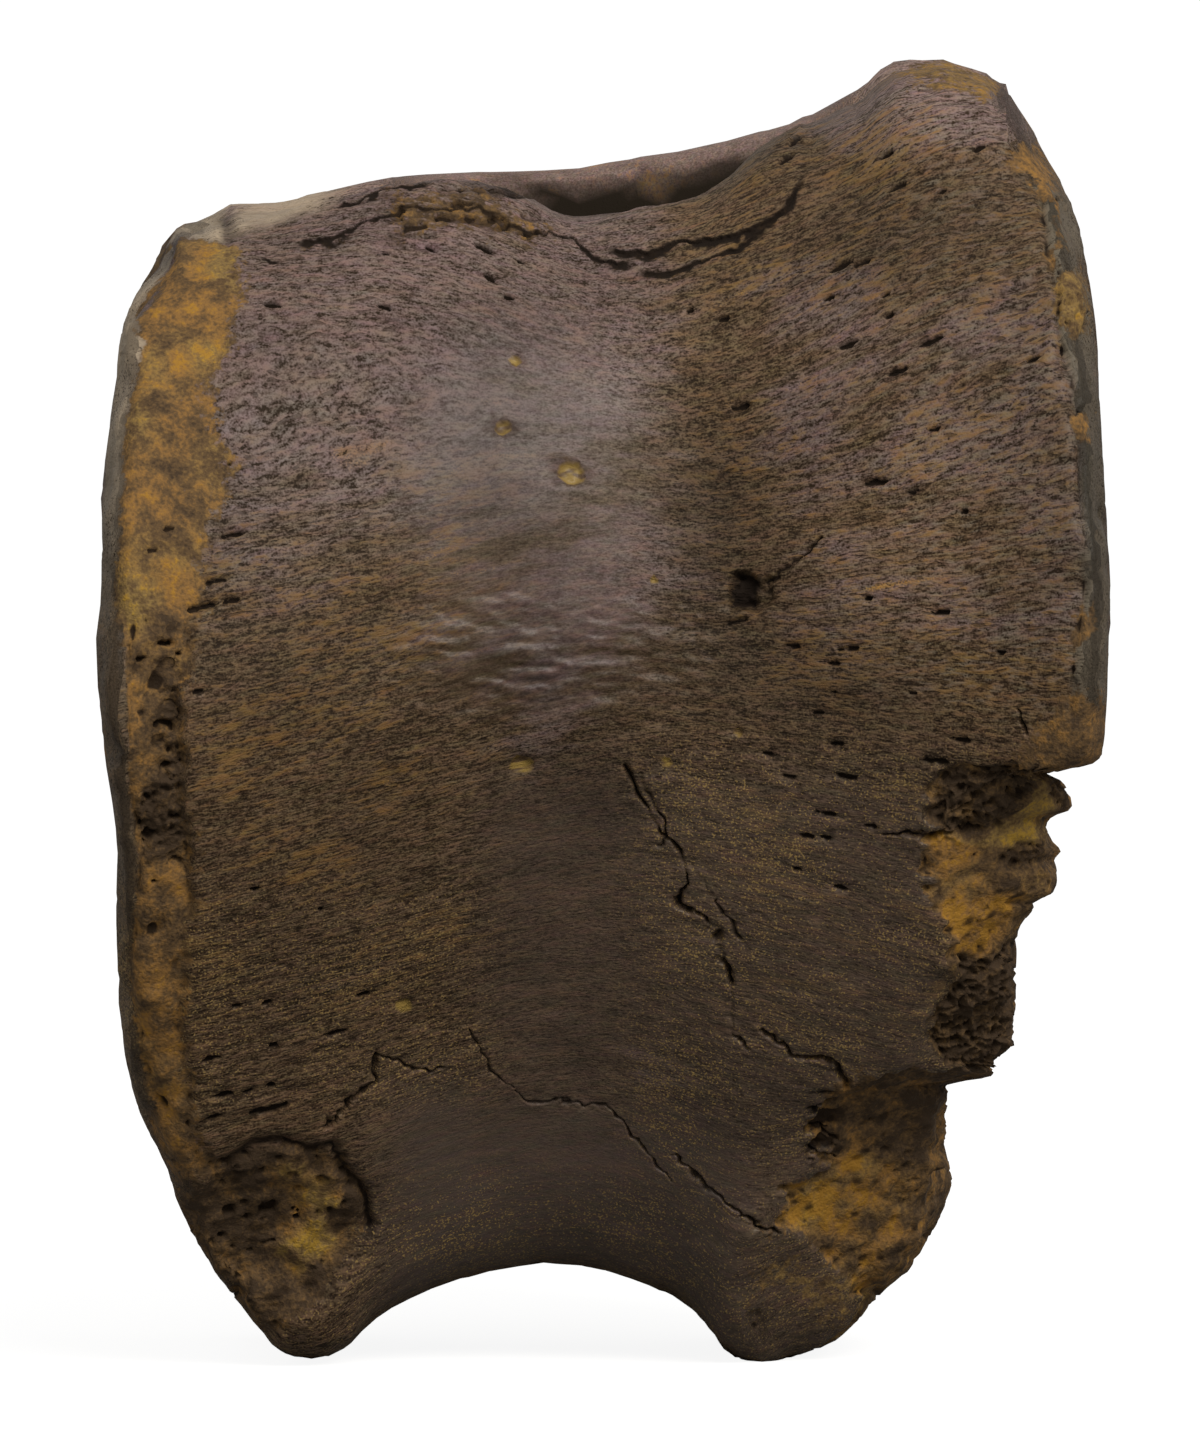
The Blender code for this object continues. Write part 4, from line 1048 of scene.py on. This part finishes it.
class Finish:
    # a material under construction
    def __init__(self, name):
        self.material = bpy.data.materials.new(name)
        self.material.use_nodes = True
        self.tree = self.material.node_tree
        self.shader = self.tree.nodes["Principled BSDF"]

    def add(self, kind, settings=None, values=None, output=0):
        node = self.tree.nodes.new("ShaderNode" + kind)
        for name, value in (settings or {}).items():
            setattr(node, name, value)
        self.plug(node, values or {})
        return Signal(self, node.outputs[output])

    def plug(self, node, values):
        for name, value in values.items():
            if isinstance(value, Signal):
                self.tree.links.new(value.socket, node.inputs[name])
            else:
                node.inputs[name].default_value = value

    def blend(self, share, first, second):
        return self.add("Mix", {"data_type": "RGBA"}, {0: share, 6: first, 7: second}, 2)

    def rise(self, low, high, value):
        return self.add("MapRange", {"interpolation_type": "SMOOTHSTEP"}, {0: value, 1: low, 2: high})

    def mark(self, name):
        return self.add("Attribute", {"attribute_name": name}, None, 2)

    def vector(self, operation, vector, values, socket=1):
        return self.add("VectorMath", {"operation": operation}, {0: vector, socket: values})

    def noise(self, vector, size, detail=2, roughness=0.5):
        values = {"Vector": vector, "Scale": 1 / size, "Detail": detail, "Roughness": roughness}
        return self.add("TexNoise", None, values)

    def bump(self, height, size):
        return self.add("Bump", None, {"Height": height, "Distance": size * mm, "Strength": 1})


boneLook = {
    "slit": (0.022, 0.012, 0.005),
    # colour of the painted shade in hollows, cracks, pores and pits
    "line": (0.012, 0.007, 0.004),
    "brown": (0.052, 0.029, 0.013),
    "brownCrest": (0.160, 0.103, 0.056),
    "lilac": (0.080, 0.050, 0.040),
    "lilacCrest": (0.195, 0.138, 0.124),
    "plain": (0.082, 0.059, 0.048),
    "rust": (0.182, 0.104, 0.027),
    "strip": (0.150, 0.124, 0.088),
    "fleck": (0.27, 0.180, 0.062),
    "sponge": (0.056, 0.035, 0.019),
    "earth": (0.120, 0.072, 0.032),
    "ochre": (0.252, 0.163, 0.055),
    "orange": (0.264, 0.140, 0.042),
    "yellow": (0.42, 0.255, 0.040),
    "bright": (0.37, 0.190, 0.028),
    "ridge": (0.20, 0.155, 0.115),
    # the painted shade at the bottom of the canal
    "canalDeep": (0.010, 0.006, 0.002),
    "pale": (0.47, 0.37, 0.26),
    "sediment": (0.31, 0.205, 0.050),
    "bump": 0.12,
    "roughness": 0.7,
    "rawRoughness": 0.8,
    "specular": 0.2,
    "coatRoughness": 0.38,
    "sizes": {
        "fine": 0.19, "wide": 0.5, "streak": 1.7, "dash": 0.24, "speck": 0.17, "blotch": 8,
        "rough": 1.8, "grit": 0.3, "border": 0.8,
    },
}


def boneFinish(look):
    made = Finish("fossilBone")
    colour = {name: (*value, 1) for name, value in look.items() if isinstance(value, tuple)}
    read = {
        name: made.mark(name)
        for name in (
            "sediment", "sunken", "dark", "even", "lilac", "rust", "combed", "plain", "fleck", "strip", "stain", "pale",
            "shade", "canal", "earth", "ruddy", "bare",
        )
    }
    grain = made.add("Attribute", {"attribute_name": "grain"}, None, 1)
    place = made.vector("MULTIPLY", made.add("TexCoord", None, None, 3), (1 / mm, 1 / mm, 1 / mm))
    size = look["sizes"]
    # painted shade in hollows measured on the mesh and in cracks, pores and pits
    paintedShade = (made.rise(0.05, 0.28, read["sunken"]) + read["dark"]) * (1 - read["sediment"] * 0.8)
    even = read["even"]

    # smooth skin of the bone, with noise drawn out along the fibres
    def grained(shortened, width, detail=0, roughness=0.5):
        return made.noise(made.vector("MULTIPLY", grain, (0.42 * shortened, 1, 1)), width, detail, roughness)

    fine = grained(1, size["fine"], 1, 0.7)
    wide = grained(0.8, size["wide"], 1, 0.6)
    streak = grained(0.6, size["streak"], 2, 0.65)
    dash = grained(0.7, size["dash"])
    speck = made.noise(place, size["speck"], 0)
    blotch = made.noise(place, size["blotch"], 0)
    groove = made.rise(0.4, 0.28, dash) * made.rise(0.4, 0.62, wide) * (1 - even)
    tone = (fine - 0.5) * (1.65 - even * 0.95) + (speck - 0.5) * (0.8 - even * 0.55)
    tone = tone + (wide - 0.5) * (0.9 - even * 0.7) + (streak - 0.5) * 0.4 + 0.5
    hue = (streak - 0.5) * 1.5 + (blotch - 0.5) * 0.8
    lilac = made.rise(0.25, 0.75, read["lilac"] + hue)
    base = made.blend(lilac, colour["brown"], colour["lilac"])
    crest = made.blend(lilac, colour["brownCrest"], colour["lilacCrest"])
    paint = made.blend(made.rise(0.2, 0.9, tone), base, crest)
    rusty = made.rise(0.5, 0.62, fine * 0.25 + wide * 0.3 + streak * 0.27 + blotch * 0.18)
    for share, name in (
        (read["rust"] * rusty * 0.78, "rust"),
        (read["rust"] * made.rise(0.66, 0.74, streak * 0.8 + speck * 0.2) * 0.5, "bright"),
        (read["combed"] * made.rise(0.56, 0.7, dash) * 0.4, "ridge"),
        (read["plain"] * 0.75, "plain"),
    ):
        paint = made.blend(share, paint, colour[name])
    for noise, amount in ((wide, 0.3), (streak, 0.14)):
        tint = made.vector("MULTIPLY", Signal(made, noise.socket.node.outputs[1]), (amount,) * 3)
        paint = made.vector("MULTIPLY", paint, made.vector("ADD", tint, (1 - amount / 2,) * 3))
    worn = made.rise(-0.15, 0.4, tone + (blotch - 0.5) * 0.8)
    for share, name in (
        (made.rise(0.34, 0.05, tone) * (1 - even * 0.7), "slit"),
        (read["fleck"] * made.rise(0.66, 0.74, speck + (wide - 0.5) * 0.35 + (blotch - 0.5) * 0.2), "fleck"),
        (groove * 0.6, "slit"),
        (read["strip"] * worn, "strip"),
    ):
        paint = made.blend(share, paint, colour[name])
    # painted shade right of the waist and under its ridge, and lighter or darker tones of the bone elsewhere
    paint = made.vector("SCALE", paint, read["stain"], 3)
    # painted highlight on the upper left corner, and the paler top of the left strip
    paint = made.blend(read["pale"] * worn, paint, colour["pale"])
    paint = made.blend(read["shade"], paint, colour["canalDeep"])
    fill = made.blend(made.rise(0.34, 0.56, wide), colour["earth"], colour["sediment"])
    paint = made.blend(read["sediment"], paint, fill)
    relief = fine * (0.9 - even * 0.6) + speck * (0.3 - even * 0.2) + wide * (1 - even) - groove * 0.8
    values = {
        "Base Color": made.blend(paintedShade, paint, colour["line"]),
        "Roughness": look["roughness"] - even * 0.15 + read["shade"] * 0.3 + paintedShade * 0.2,
        "Normal": made.bump(relief, look["bump"]),
        "Specular IOR Level": look["specular"],
        "Coat Weight": (0.18 + even * 0.2) * made.rise(0.1, 0.7, tone) * (1 - read["canal"]) * (1 - paintedShade),
        "Coat Roughness": look["coatRoughness"],
    }
    made.plug(made.shader, values)

    # worn and broken bone
    rough = made.noise(place, size["rough"], 2, 0.65)
    grit = made.noise(place, size["grit"], 1, 0.6)
    light = read["earth"] + (rough - 0.5) * 1.5 + (grit - 0.5) * 0.8
    red = made.rise(0.25, 0.75, read["ruddy"] + (rough - 0.5))
    raw = made.blend(made.rise(0.05, 0.42, light), colour["sponge"], colour["earth"])
    raw = made.blend(made.rise(0.34, 0.78, light), raw, made.blend(red, colour["ochre"], colour["orange"]))
    raw = made.blend(made.rise(0.7, 1.05, light), raw, made.blend(red, colour["yellow"], colour["bright"]))
    values = {
        # raw bone takes the slit colour as painted shade in hollows, cracks, pores and pits
        "Base Color": made.blend(paintedShade, raw, colour["slit"]),
        "Roughness": look["rawRoughness"],
        "Specular IOR Level": look["specular"],
        "Normal": made.bump(rough * 1.5 + grit, look["bump"]),
    }
    exposed = made.add("BsdfPrincipled", None, values)
    share = made.rise(0.3, 0.7, read["bare"] + (made.noise(place, size["border"], 2, 0.7) - 0.5) * 1.7)
    share = share * made.rise(0, 0.1, read["bare"])
    mixed = made.add("MixShader", None, {0: share, 1: Signal(made, made.shader.outputs[0]), 2: exposed})
    made.plug(made.tree.nodes["Material Output"], {"Surface": mixed})
    return made.material


print("bone: colours and grain")
skin.materials.clear()
skin.materials.append(boneFinish(boneLook))

bpy.context.view_layer.update()
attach(vertebra, "root")
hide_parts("vertebra")

print("floor, light and camera")
stageLook = {
    "floorRadius": 30.0,
    "floorGlow": 0.9,
    "bounceTone": 0.25,
    "floorRoughness": 0.9,
    "keySize": (1.3, 0.9),
    "keyPlace": (0.75, -1.45, 1.35),
    "keyPower": 31.0,
    "keyTone": (1.0, 0.95, 0.88),
    "skyTone": (1.0, 0.985, 0.96),
    "skyStrength": 0.48,
}

bm = bmesh.new()
bmesh.ops.create_circle(bm, cap_ends=True, segments=96, radius=stageLook["floorRadius"])
floorMesh = bpy.data.meshes.new("floor")
bm.to_mesh(floorMesh)
bm.free()
floor = placed("floor", floorMesh)
floorFinish = Finish("paleFloor")
seen = floorFinish.add("LightPath")
values = {
    "Base Color": (stageLook["bounceTone"],) * 3 + (1,),
    "Emission Color": floorFinish.blend(seen, (0, 0, 0, 1), (stageLook["floorGlow"],) * 3 + (1,)),
    "Emission Strength": 1,
    "Roughness": stageLook["floorRoughness"],
    "Specular IOR Level": 0,
}
floorFinish.plug(floorFinish.shader, values)
floorMesh.materials.append(floorFinish.material)

tilt = math.radians(view["elevation"])
aim = Vector(view["aim"]) * mm
back = Vector((0, -math.cos(tilt), math.sin(tilt)))
camera = placed("camera", bpy.data.cameras.new("camera"))
camera.location = aim + back * view["distance"] * mm
camera.rotation_euler = (-back).to_track_quat("-Z", "Y").to_euler()
camera.data.sensor_width = view["sensor"]
camera.data.lens = view["sensor"] * view["pixelsPerMm"] * view["distance"] / view["longSide"]
camera.data.clip_start, camera.data.clip_end = view["clip"]
bpy.context.scene.camera = camera

light = bpy.data.lights.new("softbox", "AREA")
light.shape = "RECTANGLE"
light.size, light.size_y = stageLook["keySize"]
light.energy = stageLook["keyPower"]
light.color = stageLook["keyTone"]
softbox = placed("softbox", light)
softbox.location = stageLook["keyPlace"]
softbox.visible_camera = False
softbox.rotation_euler = (aim - softbox.location).to_track_quat("-Z", "Y").to_euler()
world = bpy.data.worlds.new("studio")
world.use_nodes = True
sky = world.node_tree.nodes["Background"]
sky.inputs["Color"].default_value = (*stageLook["skyTone"], 1)
sky.inputs["Strength"].default_value = stageLook["skyStrength"]
bpy.context.scene.world = world
bpy.context.scene.view_settings.view_transform = "Standard"
